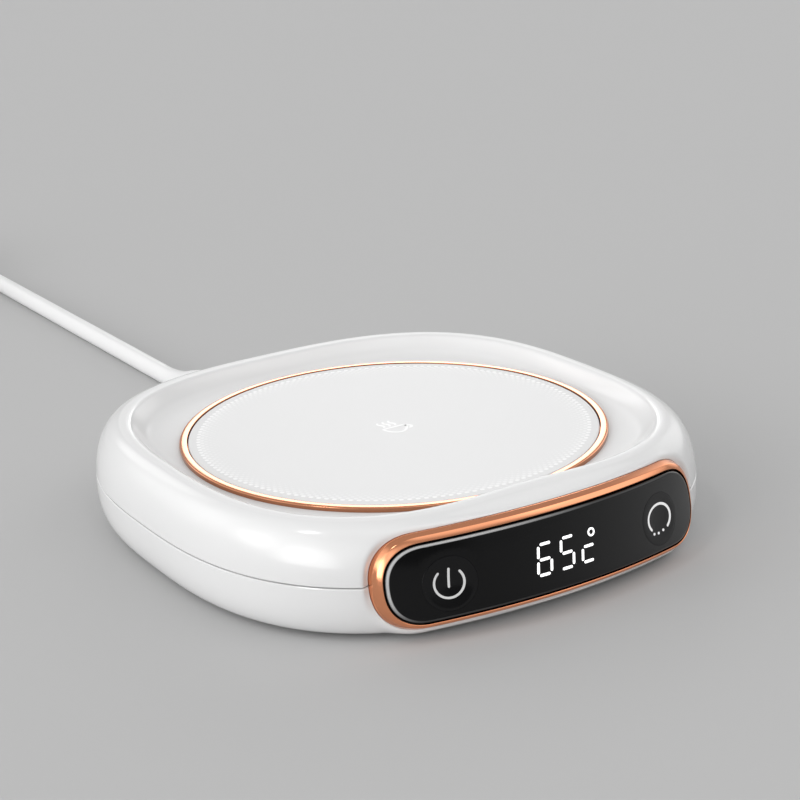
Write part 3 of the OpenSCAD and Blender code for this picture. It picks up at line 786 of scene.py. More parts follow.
def carve(piece: bpy.types.Object, tool: bpy.types.Object, operation: str = "DIFFERENCE",
          sharp: float = SHARP) -> bpy.types.Object:
    """Cuts a tool out of a piece, or joins it on, and keeps the result as the piece's mesh.

    Args:
        piece: the piece that changes.
        tool: the other body, which is removed.
        operation: the boolean's operation.
        sharp: the angle above which edges stay crisp.

    Returns:
        The piece.
    """
    cut = piece.modifiers.new("cut", "BOOLEAN")
    cut.operation, cut.solver, cut.object = operation, "EXACT", tool
    bpy.context.view_layer.update()
    result = piece.evaluated_get(bpy.context.evaluated_depsgraph_get())
    mesh = bpy.data.meshes.new_from_object(result)
    piece.modifiers.clear()
    piece.data = mesh
    bpy.data.objects.remove(tool)
    soften(piece, sharp)
    return piece


def even_shading(piece: bpy.types.Object) -> None:
    """Evens out the shading of a piece's broad faces with a modifier."""
    piece.modifiers.new("shading", "WEIGHTED_NORMAL").keep_sharp = True


def round_edges(piece: bpy.types.Object, width_mm: float, angle: float = 40.0) -> None:
    """Rounds a piece's crisp edges with a modifier, and evens out its shading.

    Args:
        piece: the piece.
        width_mm: the rounding, in millimetres.
        angle: the bend, in degrees, above which an edge is rounded.
    """
    bevel = piece.modifiers.new("edges", "BEVEL")
    bevel.width, bevel.segments = width_mm * MM, 2
    bevel.limit_method, bevel.angle_limit = "ANGLE", math.radians(angle)
    bevel.use_clamp_overlap = True
    even_shading(piece)


def dress(piece: bpy.types.Object, material: bpy.types.Material, slot: str, body: str,
          *nodes: str) -> bpy.types.Object:
    """Gives a piece its material and its body, and names the nodes that it stands for.

    Args:
        piece: the piece.
        material: its material.
        slot: the record's material slot; not used.
        body: the body that it rides on.
        nodes: the CAD nodes that it replaces.

    Returns:
        The piece.
    """
    piece.data.materials.clear()
    piece.data.materials.append(material)
    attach(piece, body)
    if nodes:
        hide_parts(*nodes)
    LOG.info("%s rides on %s, stands for %s", piece.name, body, ", ".join(nodes) or "itself")
    return piece


# ---------------------------------------------------------------- the panel's frame


@dataclass
class PanelFrame:
    """The leaning, curved front: x along it, y up it, z out of it, 0 on the housing's skin."""

    middle_x: float = 0.25
    middle_y: float = -59.6
    middle_z: float = 12.7
    lean: float = 11.3
    curve: float = 91.6
    half_length: float = 38.3
    half_height: float = 9.2
    end_full: float = 2.35
    lens_in: float = 1.7
    lens_drop: float = 0.35
    arc_steps: int = 48
    side_steps: int = 40

    def skin(self, x: float, lift: float) -> float:
        """Gives the curved skin's height at x, lifted along its radius."""
        return math.sqrt((self.curve + lift) ** 2 - x * x) - self.curve

    def place(self, x: float, y: float, z: float) -> Point:
        """Turns a point of the panel's frame into one of the shared frame."""
        s, c = math.sin(math.radians(self.lean)), math.cos(math.radians(self.lean))
        return (self.middle_x + x, self.middle_y + y * s - z * c, self.middle_z + y * c + z * s)

    def on_skin(self, x: float, y: float, lift: float) -> Point:
        """Gives the point above the skin at x and y."""
        return self.place(x, y, self.skin(x, lift))

    def reach(self, x: float, y: float) -> float:
        """Gives the distance that is equal all round one of the full ends."""
        return (abs(x) ** self.end_full + abs(y) ** self.end_full) ** (1 / self.end_full)

    def flat_outline(self, inset: float) -> list[Flat]:
        """Gives the outline at an inset, clockwise from its top right, lower towards the lens.

        Args:
            inset: how far in from the housing's opening.

        Returns:
            Its x and y along the panel.
        """
        r, s = self.half_height - inset, self.half_length - self.half_height
        drop = self.lens_drop * hold(inset / self.lens_in)
        end = []
        for a in spread(0.0, math.pi, self.arc_steps):
            x, y = math.sin(a), math.cos(a)
            end.append((r * x / self.reach(x, y), r * y / self.reach(x, y)))
        side = spread(0.0, 2 * s, self.side_steps)[1:-1]
        flat = (
            [(s + x, y) for x, y in end]
            + [(s - d, -r) for d in side]
            + [(-s - x, -y) for x, y in end]
            + [(-s + d, r) for d in side]
        )
        return [(x, y - drop) for x, y in flat]

    def outline(self, inset: float, lift: float) -> list[Point]:
        """Gives the capsule outline at an inset, lifted from the curved skin."""
        return [self.on_skin(x, y, lift) for x, y in self.flat_outline(inset)]

    def rungs(self) -> list[tuple[int, ...]]:
        """Gives the faces that fill an outline with strips from its upper side to its lower one.

        Returns:
            The corners of each face, as places in the outline.
        """
        a, s = self.arc_steps, self.side_steps
        upper = (
            [a // 2 - i for i in range(a // 2 + 1)]
            + [2 * a + s + (s - j) for j in range(1, s)]
            + [a + s + (a - i) for i in range(a // 2 + 1)]
        )
        lower = (
            [a // 2 + i for i in range(a // 2 + 1)]
            + [a + j for j in range(1, s)]
            + [a + s + i for i in range(a // 2 + 1)]
        )
        faces: list[tuple[int, ...]] = []
        for i in range(len(upper) - 1):
            corners = (upper[i], upper[i + 1], lower[i + 1], lower[i])
            faces.append(tuple(reversed(tuple(dict.fromkeys(corners)))))
        return faces


# ---------------------------------------------------------------- housings


@dataclass
class Housing:
    """The two white housings: a rounded square, rolled over its rim into a round dish.

    A skin is a set of rings, each with a point for every bearing. The upper one runs up the
    shoulder, over the rim's roll, down the bowl to the plate's hole and back along the inside.
    """

    panel: PanelFrame
    plate: "HotPlate"
    lead: "Lead"
    width: float = 118.2
    depth: float = 123.8
    square: float = 2.7
    rim_z: float = 22.9
    waist_z: float = 9.2
    parting_z: float = 11.7
    parting_gap: float = 0.25
    wall: float = 2.2
    floor_t: float = 1.8
    bottom_curl: float = 4.6
    shoulder_full: float = 2.3
    bottom_full: float = 2.3
    middle_y: float = 1.5
    crest_w: float = 104.2
    crest_d: float = 106.0
    crest_pull: float = 2.6
    crest_square: float = 2.87
    crest_y: float = 0.8
    pull_width: float = 22.0
    rim_roll: float = 1.8
    roll_turn: float = math.radians(55)
    bowl_w: float = 9.5
    bowl_hollow: float = 2.7
    ring_edge: float = 46.3
    dish_t: float = 2.0
    hole_r: float = 45.1
    hole_aim: float = 44.1
    foot_h: float = 0.8
    foot_r: float = 6.0
    foot_seat: float = 1.2
    corner: float = 37.5
    boss_low: float = 7.8
    boss_r: float = 4.0
    lip_reach: float = 1.8
    lip_rise: float = 5.0
    opening_in: float = 0.45
    opening_deep: float = 7.5
    opening_out: float = 8.0
    seat_h: float = -0.25
    seat_out: float = 0.12
    edge: float = 0.16
    shoulder_steps: int = 33
    roll_steps: int = 10
    bowl_steps: int = 14
    bowl_crowding: float = 1.2
    hole_round: float = 0.25
    under_crest: float = 2.6
    inner_turn: float = math.radians(82)
    inner_steps: int = 7
    curl_steps: int = 18
    flank_steps: int = 5
    boss_gap: float = 0.05
    pilot_r: float = 1.0
    pilot_z: Span = (5.0, 15.0)
    tongue_in: float = 0.35
    tongue_t: float = 1.1
    tongue_h: float = 1.6
    tongue_root: float = 0.2
    inner_curl: tuple[int, ...] = (0, 30, 55, 75, 90)
    well_r: float = 2.6
    well_top: float = 5.6
    shank_r: float = 1.25
    shank_top: float = 9.0
    fit: float = 0.1
    clamp_half_w: float = 8.5
    clamp_y: Span = (49.5, 54.5)
    clamp_top: float = 8.0
    relief_in: tuple[float, ...] = (20.0, 7.0, 6.0, 2.4)
    lead_bore: float = 2.6
    sections: tuple[tuple[float, float, int], ...] = (
        (0.0, 0.6, 40), (24.0, 0.4, 66), (50.4, 1.44, 91))
    bearings: list[float] = field(default_factory=list)

    def __post_init__(self) -> None:
        """Lays out the sections, closer together beside the panel's ends."""
        half = [start + step * i for start, step, count in self.sections for i in range(count)]
        around = half + [360 - b for b in reversed(half[1:-1])]
        self.bearings = [math.radians((270 + b) % 360) for b in around]

    def _inward(self, at: Flat, inset: float) -> Flat:
        """Moves a level point towards the housing's middle."""
        ux, uy = unit(-at[0], self.middle_y - at[1])
        return at[0] + ux * inset, at[1] + uy * inset

    def waist(self, a: float) -> Flat:
        """Gives the widest outline at angle a."""
        r = squircle(a, self.width / 2, self.depth / 2, self.square)
        return r * math.cos(a), r * math.sin(a) + self.middle_y

    def crest(self, a: float) -> Flat:
        """Gives the rim's crest at angle a.

        Args:
            a: the bearing, in radians.

        Returns:
            Its x and y.
        """
        off = math.degrees((a - 1.5 * math.pi + math.pi) % TAU - math.pi)
        r = squircle(a, self.crest_w / 2, self.crest_d / 2, self.crest_square)
        r -= self.crest_pull * math.exp(-((off / self.pull_width) ** 2))
        return r * math.cos(a), r * math.sin(a) + self.crest_y

    def _to_hole(self, a: float) -> Flat:
        """Gives the level way from the crest to just inside the plate's hole."""
        (x, y), aim = self.crest(a), self.hole_aim
        return aim * math.cos(a) - x, aim * math.sin(a) + self.plate.centre_y - y

    def crest_in(self, a: float, inset: float, z: float) -> Point:
        """Gives a point at an inset from the crest, on the way to the plate's hole."""
        (x, y), (ux, uy) = self.crest(a), unit(*self._to_hole(a))
        return (x + ux * inset, y + uy * inset, z)

    def bowl_reach(self, a: float) -> float:
        """Gives how far the dish's wall reaches in from the crest, short of the ring."""
        away = math.hypot(*self._to_hole(a))
        return min(self.bowl_w, away + self.hole_aim - self.ring_edge)

    def roll(self, a: float, t: float) -> Point:
        """Gives the rim's roll, t radians over from the crest.

        Args:
            a: the bearing, in radians.
            t: how far over the crest, in radians.

        Returns:
            The point.
        """
        span = self.bowl_reach(a) - self.rim_roll * math.sin(self.roll_turn)
        drop = self.bowl_hollow * (self.rim_z - self.plate.dish_z) / (
            span * math.tan(self.roll_turn) / self.rim_roll
            + self.bowl_hollow * (1 - math.cos(self.roll_turn)))
        return self.crest_in(a, self.rim_roll * math.sin(t), self.rim_z - drop * (1 - math.cos(t)))

    def bowl(self, a: float, u: float, sink: float = 0.0) -> Point:
        """Gives the hollow wall from the roll, u 0, to the dish's floor, u 1.

        Args:
            a: the bearing, in radians.
            u: how far down the wall, from 0 to 1.
            sink: how far below the outer skin.

        Returns:
            The point.
        """
        edge, top = self.rim_roll * math.sin(self.roll_turn), self.roll(a, self.roll_turn)[2]
        floor = self.plate.dish_z
        rise = (top - floor) * (1 - u) ** self.bowl_hollow
        return self.crest_in(a, edge + (self.bowl_reach(a) - edge) * u, floor + rise - sink)

    def hole(self, a: float, r: float, z: float) -> Point:
        """Gives a point round the plate's axis."""
        return (r * math.cos(a), r * math.sin(a) + self.plate.centre_y, z)

    def shoulder_turn(self, z: float, sink: float = 0.0) -> float:
        """Gives the shoulder's parameter at a height."""
        share = (z - self.waist_z) / (self.rim_z - sink - self.waist_z)
        return math.asin(share ** (self.shoulder_full / 2))

    def shoulder(self, a: float, t: float, sink: float = 0.0) -> Point:
        """Gives the shoulder from the waist, t 0, to the crest, t a right angle.

        Args:
            a: the bearing, in radians.
            t: how far up, in radians.
            sink: how far below the outer skin.

        Returns:
            The point.
        """
        k = 2 / self.shoulder_full
        (x, y), (cx, cy) = self._inward(self.waist(a), sink), self.crest(a)
        share = 1 - max(math.cos(t), 0.0) ** k
        rise = (self.rim_z - sink - self.waist_z) * math.sin(t) ** k
        return (x + (cx - x) * share, y + (cy - y) * share, self.waist_z + rise)

    def underside(self, a: float, t: float, sink: float = 0.0) -> Point:
        """Gives the underside from the waist, t 0, to the flat bottom, t a right angle.

        Args:
            a: the bearing, in radians.
            t: how far down, in radians.
            sink: how far below the outer skin.

        Returns:
            The point.
        """
        k = 2 / self.bottom_full
        inset = sink + self.bottom_curl * (1 - max(math.cos(t), 0.0) ** k)
        drop = self.waist_z - self.foot_h - sink * self.floor_t / self.wall
        return (*self._inward(self.waist(a), inset), self.waist_z - drop * math.sin(t) ** k)

    def lifted(self, p: Point) -> Point:
        """Draws a point of the skin onto the panel's surface, let go over the lip's reach.

        Args:
            p: a point of the skin.

        Returns:
            The point, drawn into the lip round the panel where it is near it.
        """
        x, y, z = p
        if y > 0:
            return p
        panel, lean = self.panel, math.radians(self.panel.lean)
        s, c = math.sin(lean), math.cos(lean)
        dy, dz = y - panel.middle_y, z - panel.middle_z
        v, w = dy * s + dz * c, dz * s - dy * c
        along = x - panel.middle_x
        over = max(abs(along) - panel.half_length + panel.half_height, 0.0)
        t = hold((panel.reach(over, v) - panel.half_height) / self.lip_reach)
        lift = (1 - 3 * t * t + 2 * t ** 3) * (panel.skin(along, 0.0) - w)
        top = self.parting_z + self.parting_gap / 2
        up = lift * s * hold((z - top) / self.lip_rise)
        return (x, y + (up * s - lift) / c, z + up)

    def _panel_tool(self) -> bpy.types.Object:
        """Makes the body that the panel's opening and seat are cut with.

        Returns:
            The tool.
        """
        steps = [(self.opening_in, -self.opening_deep), (self.opening_in, self.seat_h),
                 (-self.seat_out, self.seat_h), (-self.seat_out, self.opening_out)]
        rings = [self.panel.outline(inset, lift) for inset, lift in steps]
        return Skin().rings(rings, Ends.STRIPS, self.panel.rungs()).piece("panel_tool")

    def _ring(self, make: Callable[[float], Point]) -> list[Point]:
        """Makes one ring of the skin."""
        return [make(a) for a in self.bearings]

    def corners(self) -> list[Point]:
        """Gives the places of the four corner bosses."""
        c = self.corner
        return [(x, y + self.middle_y, 0.0) for x in (-c, c) for y in (-c, c)]

    def upper(self) -> bpy.types.Object:
        """Builds the upper housing.

        Returns:
            The piece, with the panel's opening and the plate's hole.
        """
        top = self.parting_z + self.parting_gap / 2
        start, inner = self.shoulder_turn(top + self.edge), self.shoulder_turn(top, self.wall)
        rings = [self._ring(lambda a: self._edge(a, top))]
        for t in spread(start, math.pi / 2, self.shoulder_steps):
            rings.append(self._ring(lambda a: self.lifted(self.shoulder(a, t))))
        for t in spread(0.0, self.roll_turn, self.roll_steps)[1:]:
            rings.append(self._ring(lambda a: self.roll(a, t)))
        for u in spread(0.0, 1.0, self.bowl_steps)[1:]:
            rings.append(self._ring(lambda a: self.bowl(a, u ** self.bowl_crowding)))
        for r, z in ((self.hole_r + self.hole_round, self.plate.dish_z),
                     (self.hole_r, self.plate.dish_z - self.hole_round),
                     (self.hole_r, self.plate.dish_z - self.dish_t)):
            rings.append(self._ring(lambda a: self.hole(a, r, z)))
        for u in (1.0, 0.35):
            rings.append(self._ring(lambda a: self.bowl(a, u, self.dish_t)))
        rings.append(self._ring(lambda a: self.crest_in(a, 1.0, self.rim_z - self.under_crest)))
        for t in spread(self.inner_turn, inner, self.inner_steps):
            rings.append(self._ring(lambda a: self.shoulder(a, t, self.wall)))
        piece = Skin().rings(rings, Ends.JOINED).piece("upper_housing_skin")
        posts, holes, low = Skin(), Skin(), self.boss_low + self.boss_gap
        for corner in self.corners():
            posts.lathe([(0, low), (self.boss_r, low), (self.boss_r, self.plate.dish_z - 1),
                         (0, self.plate.dish_z - 1)], corner, 32)
            holes.lathe([(0, self.pilot_z[0]), (self.pilot_r, self.pilot_z[0]),
                         (self.pilot_r, self.pilot_z[1]), (0, self.pilot_z[1])], corner, 24)
        carve(piece, posts.piece("posts"), "UNION")
        carve(piece, holes.piece("holes"))
        return carve(piece, self._panel_tool(), sharp=32.0)

    def _edge(self, a: float, z: float) -> Point:
        """Gives the parting edge at angle a, drawn in a little so that it catches the light."""
        x, y, _ = self.lifted(self.shoulder(a, self.shoulder_turn(z)))
        return (*self._inward((x, y), self.edge), z)

    def lower(self) -> bpy.types.Object:
        """Builds the lower housing.

        Returns:
            The piece, with its feet's seats, the lead's exit and the panel's opening.
        """
        low = self.parting_z - self.parting_gap / 2
        rings = []
        for degrees in spread(90, 0, self.curl_steps):
            t = math.radians(degrees)
            rings.append(self._ring(lambda a: self.lifted(self.underside(a, t))))
        for t in spread(0.0, self.shoulder_turn(low - self.edge), self.flank_steps)[1:]:
            rings.append(self._ring(lambda a: self.lifted(self.shoulder(a, t))))
        rings.append(self._ring(lambda a: self._edge(a, low)))
        outside, top = self.wall + self.tongue_in, low + self.tongue_h
        inside = outside + self.tongue_t
        for inset, z in ((outside, low), (outside, top), (inside, top),
                         (inside, self.waist_z + self.tongue_root)):
            rings.append(self._ring(lambda a: self._wall_in(a, inset, z)))
        for degrees in self.inner_curl:
            t = math.radians(degrees)
            rings.append(self._ring(lambda a: self.underside(a, t, self.wall)))
        piece = Skin().rings(rings).piece("lower_housing_skin")
        floor_z = self.foot_h + self.floor_t
        posts, tools = Skin(), Skin()
        seat_r, seat_top = self.foot_r + self.fit, self.foot_h + self.foot_seat
        for corner in self.corners():
            posts.lathe([(0, floor_z - 1), (self.boss_r, floor_z - 1), (self.boss_r, self.boss_low),
                         (0, self.boss_low)], corner, 32)
            tools.lathe([(0, -1), (seat_r, -1), (seat_r, seat_top), (self.well_r, seat_top),
                         (self.well_r, self.well_top), (self.shank_r, self.well_top),
                         (self.shank_r, self.shank_top), (0, self.shank_top)], corner, 64)
        posts.box((-self.clamp_half_w, self.clamp_y[0], floor_z - 1),
                  (self.clamp_half_w, self.clamp_y[1], self.clamp_top))
        back = self.middle_y + self.depth / 2
        start, neck_in, flange_in, flange_out = (back - away for away in self.relief_in)
        neck, flange = self.lead.relief_neck + self.fit, self.lead.relief_r + self.fit
        bore, seat, end = self.lead_bore, back - self.lead.relief_seat, back + 1
        channel = [(0, start), (bore, start), (bore, neck_in), (neck, neck_in), (neck, flange_in),
                   (flange, flange_in), (flange, flange_out), (neck, flange_out), (neck, seat),
                   (flange, seat), (flange, end), (0, end)]
        tools.lathe(channel, (0, 0, self.lead.exit_z), 64, along_y=True)
        carve(piece, posts.piece("posts"), "UNION")
        carve(piece, tools.piece("tools"))
        return carve(piece, self._panel_tool(), sharp=32.0)

    def _wall_in(self, a: float, inset: float, z: float) -> Point:
        """Gives a point behind the skin at angle a.

        Args:
            a: the bearing, in radians.
            inset: how far behind the skin.
            z: the height.

        Returns:
            The point.
        """
        x, y, _ = self.shoulder(a, self.shoulder_turn(min(z, self.parting_z)))
        ux, uy = unit(-self.waist(a)[0], self.middle_y - self.waist(a)[1])
        return (x + ux * inset, y + uy * inset, z)

    def build(self, material: bpy.types.Material) -> None:
        """Builds and dresses both housings.

        Args:
            material: the moulded white.
        """
        for make, node in ((self.upper, "upper_housing"), (self.lower, "lower_housing")):
            piece = make()
            even_shading(piece)
            dress(piece, material, "white_housing", "warmer", node)


# ---------------------------------------------------------------- hot plate


@dataclass
class HotPlate:
    """The plated ring, the white glass with its dots, and the small cup printed on it."""

    centre_y: float = -0.6
    glass_r: float = 44.2
    glass_top: float = 20.2
    glass_t: float = 1.8
    sleeve_in: float = 44.42
    sleeve_out: float = 44.95
    ring_r: float = 46.1
    ring_top: float = 20.28
    crown_at: float = 0.3
    crown_drop: float = 0.85
    crown_full: float = 0.35
    crown_steps: int = 12
    inner_chamfer: tuple[Flat, ...] = ((0.0, 0.12), (0.02, 0.04), (0.07, 0.01))
    glass_round: float = 0.35
    glass_chamfer: float = 0.2
    dish_z: float = 19.3
    dish_gap: float = 0.05
    sleeve_low: float = 15.2
    ledge_r: float = 41.5
    ledge_top: float = 18.1
    ledge_low: float = 16.9
    print_t: float = 0.02
    print_deep: float = 0.05
    segments: int = 288
    cup_at: Flat = (-0.05, 0.0)
    cup_w: float = 2.65
    cup_deep: float = 3.5
    cup_line: float = 0.5
    handle_at: Flat = (2.85, -1.55)
    handle_r: Flat = (0.75, 0.8)
    wisps: tuple[float, ...] = (-1.75, -0.35, 1.05)
    wisp_low: float = 0.95
    wisp_rise: float = 0.24
    wisp_sway: float = 0.3

    def ring(self) -> bpy.types.Object:
        """Builds the ring: a crown that falls away outward, and the sleeve below.

        Returns:
            The piece.
        """
        shoulder, middle = [], self.sleeve_in + self.crown_at
        for degrees in spread(0.0, 90.0, self.crown_steps):
            t = math.radians(degrees)
            out, down = math.sin(t) ** self.crown_full, 1 - math.cos(t) ** self.crown_full
            shoulder.append((middle + (self.ring_r - middle) * out,
                             self.ring_top - self.crown_drop * down))
        inner = [(self.sleeve_in + x, self.ring_top - z) for x, z in self.inner_chamfer]
        low = self.dish_z + self.dish_gap
        profile = inner + shoulder + [
            (self.ring_r, low), (self.sleeve_out, low),
            (self.sleeve_out, self.sleeve_low), (self.sleeve_in, self.sleeve_low),
            (self.sleeve_in, self.ledge_low), (self.ledge_r, self.ledge_low),
            (self.ledge_r, self.ledge_top), (self.sleeve_in, self.ledge_top)]
        at = (0.0, self.centre_y, 0.0)
        return Skin().lathe(profile, at, self.segments, closed=True).piece("plated_ring")

    def glass(self) -> bpy.types.Object:
        """Builds the glass with a rounded rim.

        Returns:
            The piece.
        """
        bend = self.glass_round
        rim = arc(self.glass_r - bend, self.glass_top - bend, bend, bend, 0, 90, 6)
        low, cut = self.glass_top - self.glass_t, self.glass_chamfer
        profile = [(0, low), (self.glass_r - cut, low), (self.glass_r, low + cut)] + rim
        profile += [(r, self.glass_top) for r in (40.0, 30.0, 15.0, 0.0)]
        at = (0.0, self.centre_y, 0.0)
        return Skin().lathe(profile, at, self.segments).piece("white_glass_plate")

    def _flat(self, x: float, y: float, lift: float) -> Point:
        """Places a printed point on the glass."""
        return (x + self.cup_at[0], y + self.centre_y + self.cup_at[1], self.glass_top + lift)

    def cup(self) -> bpy.types.Object:
        """Builds the printed cup with three wisps of steam.

        Returns:
            The piece.
        """
        brim = self.cup_w * 5 / 6
        paths = [arc(0.0, 0.0, self.cup_w, self.cup_deep, 180, 360, 18),
                 arc(*self.handle_at, *self.handle_r, 125, -99, 16),
                 between((-brim, 0.0), (brim, 0.0), 10)]
        for x in self.wisps:
            paths.append([(x + self.wisp_sway * math.sin(TAU * i / 12),
                           self.wisp_low + self.wisp_rise * i) for i in range(13)])
        skin = Skin()
        for path in paths:
            Stroke(path, self.cup_line).add_to(skin, self._flat, -self.print_deep, self.print_t)
        return skin.piece("printed_cup")

    def build(self, copper: bpy.types.Material, glass: bpy.types.Material,
              ink: bpy.types.Material) -> None:
        """Builds and dresses the ring, the glass and the print.

        Args:
            copper: the ring's plating.
            glass: the dotted glass.
            ink: the print.
        """
        dress(self.ring(), copper, "copper_ring", "warmer", "plate_ring")
        dress(self.glass(), glass, "white_glass", "warmer", "glass_plate")
        dress(self.cup(), ink, "white_glass", "warmer")


# ---------------------------------------------------------------- marks


@dataclass
class Stroke:
    """A mark drawn with a round pen: a path, or a closed loop, on a flat or curved surface."""

    path: Sequence[Flat]
    width: float
    loop: bool = False
    cap_steps: int = 4
    cap_turn: float = 86.0

    def _stations(self) -> list[tuple[float, ...]]:
        """Follows the pen, with a round cap at each end of an open path.

        Returns:
            Places along the pen's way: x, y, direction x and y, and half the width there.
        """
        points, count = list(self.path), len(self.path)
        stations = []
        for i, (x, y) in enumerate(points):
            before = points[(i - 1) % count] if self.loop else points[max(i - 1, 0)]
            after = points[(i + 1) % count] if self.loop else points[min(i + 1, count - 1)]
            dx, dy = after[0] - before[0], after[1] - before[1]
            size = math.hypot(dx, dy)
            stations.append((x, y, dx / size, dy / size, self.width / 2))
        if self.loop:
            return stations
        for end, sign in ((0, -1), (-1, 1)):
            x, y, dx, dy, half = stations[end]
            caps = []
            for k in range(1, self.cap_steps + 1):
                a = math.radians(self.cap_turn * k / self.cap_steps)
                reach = half * math.sin(a) * sign
                caps.append((x + dx * reach, y + dy * reach, dx, dy, half * math.cos(a)))
            stations = list(reversed(caps)) + stations if end == 0 else stations + caps
        return stations

    def add_to(self, skin: Skin, place: Place, low: float, high: float) -> None:
        """Adds the stroke to a skin as a thin raised line.

        Args:
            skin: the skin.
            place: turns x, y and a lift into a point.
            low: the lift of its underside.
            high: the lift of its top.
        """
        rings = []
        for x, y, dx, dy, half in self._stations():
            left, right = (x - dy * half, y + dx * half), (x + dy * half, y - dx * half)
            rings.append([place(*left, high), place(*right, high),
                          place(*right, low), place(*left, low)])
        skin.rings(rings, Ends.JOINED if self.loop else Ends.CAPPED)


class Segment(Enum):
    """The bars of a seven-segment digit."""

    TOP = "a"
    UPPER_RIGHT = "b"
    LOWER_RIGHT = "c"
    BOTTOM = "d"
    LOWER_LEFT = "e"
    UPPER_LEFT = "f"
    MIDDLE = "g"


# ---------------------------------------------------------------- control panel


@dataclass
class ControlPanel:
    """Bezel, black lens, the two press keys, their lit signs and the lit reading."""

    panel: PanelFrame
    seat_h: float = -0.2
    bevel: tuple[Flat, ...] = ((0.0, 0.3), (0.06, 0.5), (0.44, 1.5), (0.52, 1.66), (0.64, 1.76),
                               (1.18, 2.1), (1.28, 2.13), (1.37, 2.07))
    face: float = 1.4
    face_low: float = 1.95
    skirt_in: float = 0.55
    skirt_end: float = -2.8
    lens_top: float = 2.4
    lens_t: float = 2.0
    lens_round: float = 0.65
    key_x: float = 25.1
    key_y: float = -1.15
    key_r: float = 5.3
    key_fit: float = 0.03
    dish_r: float = 4.9
    dish_deep: float = 0.4
    flange_r: float = 5.7
    flange_t: float = 1.1
    flange_top: float = -5.11
    plunger_r: float = 1.7
    plunger_low: float = -8.01
    key_round: float = 0.05
    dish_full: float = 1.6
    segments: int = 96
    mark_y: float = -1.05
    mark_lift: float = 0.03
    mark_deep: float = 0.05
    power_at: Flat = (-25.2, -1.05)
    power_r: float = 2.87
    power_line: float = 0.44
    power_bar: tuple[Flat, Flat] = ((0.2, 2.65), (-0.1, -0.75))
    mode_at: Flat = (25.2, -1.1)
    mode_r: Flat = (3.5, 2.88)
    mode_line: float = 0.52
    mode_dots: tuple[Flat, ...] = ((-2.2, -2.7), (-0.78, -2.88), (0.8, -2.66))
    dot_half: float = 0.06
    degree_at: Flat = (5.79, 1.41)
    degree_r: float = 0.68
    degree_line: float = 0.38
    digit_w: float = 3.0
    digit_h: float = 5.9
    digit_step: float = 5.2
    digit_left: float = -7.1
    digit_lean: float = 7.8
    bar: float = 0.55
    bar_gap: float = 0.6

    def bezel(self) -> bpy.types.Object:
        """Builds the bezel: a steep outer bevel, a broad face and the skirt behind.

        Returns:
            The piece.
        """
        profile = [(0.0, self.seat_h), *self.bevel, (self.face, self.face_low),
                   (self.face, self.skirt_end), (self.skirt_in, self.skirt_end),
                   (self.skirt_in, self.seat_h)]
        rings = [self.panel.outline(inset, lift) for inset, lift in profile]
        return Skin().rings(rings, Ends.JOINED).piece("plated_bezel", 30.0)

    def lens(self) -> bpy.types.Object:
        """Builds the lens with its rounded edge and the keys' holes.

        Returns:
            The piece.
        """
        rings = [self.panel.outline(self.panel.lens_in, self.lens_top - self.lens_t)]
        for degrees in spread(0, 90, 8):
            t = math.radians(degrees)
            inset = self.panel.lens_in + self.lens_round * (1 - math.cos(t))
            lift = self.lens_top - self.lens_round * (1 - math.sin(t))
            rings.append(self.panel.outline(inset, lift))
        piece = Skin().rings(rings, Ends.STRIPS, self.panel.rungs()).piece("black_lens")
        holes, r = Skin(), self.key_r + self.key_fit
        for x in (-self.key_x, self.key_x):
            round_key = [(x + r * c, self.key_y + r * s) for c, s in circle(self.segments)]
            holes.rings([[self.panel.place(*at, z) for at in round_key] for z in (-20.0, 20.0)])
        return carve(piece, holes.piece("key_holes"))

    def key_lift(self, x: float, rho: float) -> float:
        """Gives the height of a key's dished top at a distance from its middle."""
        dip = self.dish_deep * (1 - min(rho / self.dish_r, 1.0) ** 2) ** self.dish_full
        return self.panel.skin(x, self.lens_top) - dip

    def key(self, name: str, at: float) -> bpy.types.Object:
        """Builds a key: dished cap, flange and plunger.

        Args:
            name: the piece's name.
            at: the key's place along the panel.

        Returns:
            The piece.
        """
        tip, r, bend = 0.01, self.key_r, self.key_round
        steps = [(tip, None, 0.0)] + [(radius, None, 0.0) for radius in spread(0.0, r, 24)[1:-1]]
        steps += [(r - bend, None, 0.0), (r - 0.3 * bend, None, 0.3 * bend), (r, None, bend)]
        flange_low, top = self.flange_top - self.flange_t, self.flange_top
        steps += [(r, top, 0), (self.flange_r, top, 0), (self.flange_r, flange_low, 0),
                  (self.plunger_r, flange_low, 0), (self.plunger_r, self.plunger_low, 0),
                  (tip, self.plunger_low, 0)]
        rings = []
        # A step without a height of its own follows the dished top, less its drop.
        for radius, height, drop in steps:
            ring = []
            for c, s in circle(self.segments):
                x, y = radius * c, radius * s
                z = self.key_lift(at + x, radius) - drop if height is None else height
                ring.append(self.panel.place(at + x, self.key_y + y, z))
            rings.append(ring)
        return Skin().rings(rings).piece(name)

    def _on_key(self, at: float) -> Place:
        """Gives the placing of a mark on a key's dished top.

        Args:
            at: the key's place along the panel.

        Returns:
            What turns x, y and a lift into a point.
        """
        def place(x: float, y: float, lift: float) -> Point:
            """Places one point of the mark."""
            rho = math.hypot(x - at, y - self.key_y)
            return self.panel.place(x, y, self.key_lift(x, rho) + lift)
        return place

    def _draw(self, name: str, strokes: Iterable[Stroke], place: Place) -> bpy.types.Object:
        """Draws strokes as one thin lit piece.

        Args:
            name: the piece's name.
            strokes: the marks.
            place: turns x, y and a lift into a point.

        Returns:
            The piece.
        """
        skin = Skin()
        for stroke in strokes:
            stroke.add_to(skin, place, -self.mark_deep, self.mark_lift)
        return skin.piece(name)

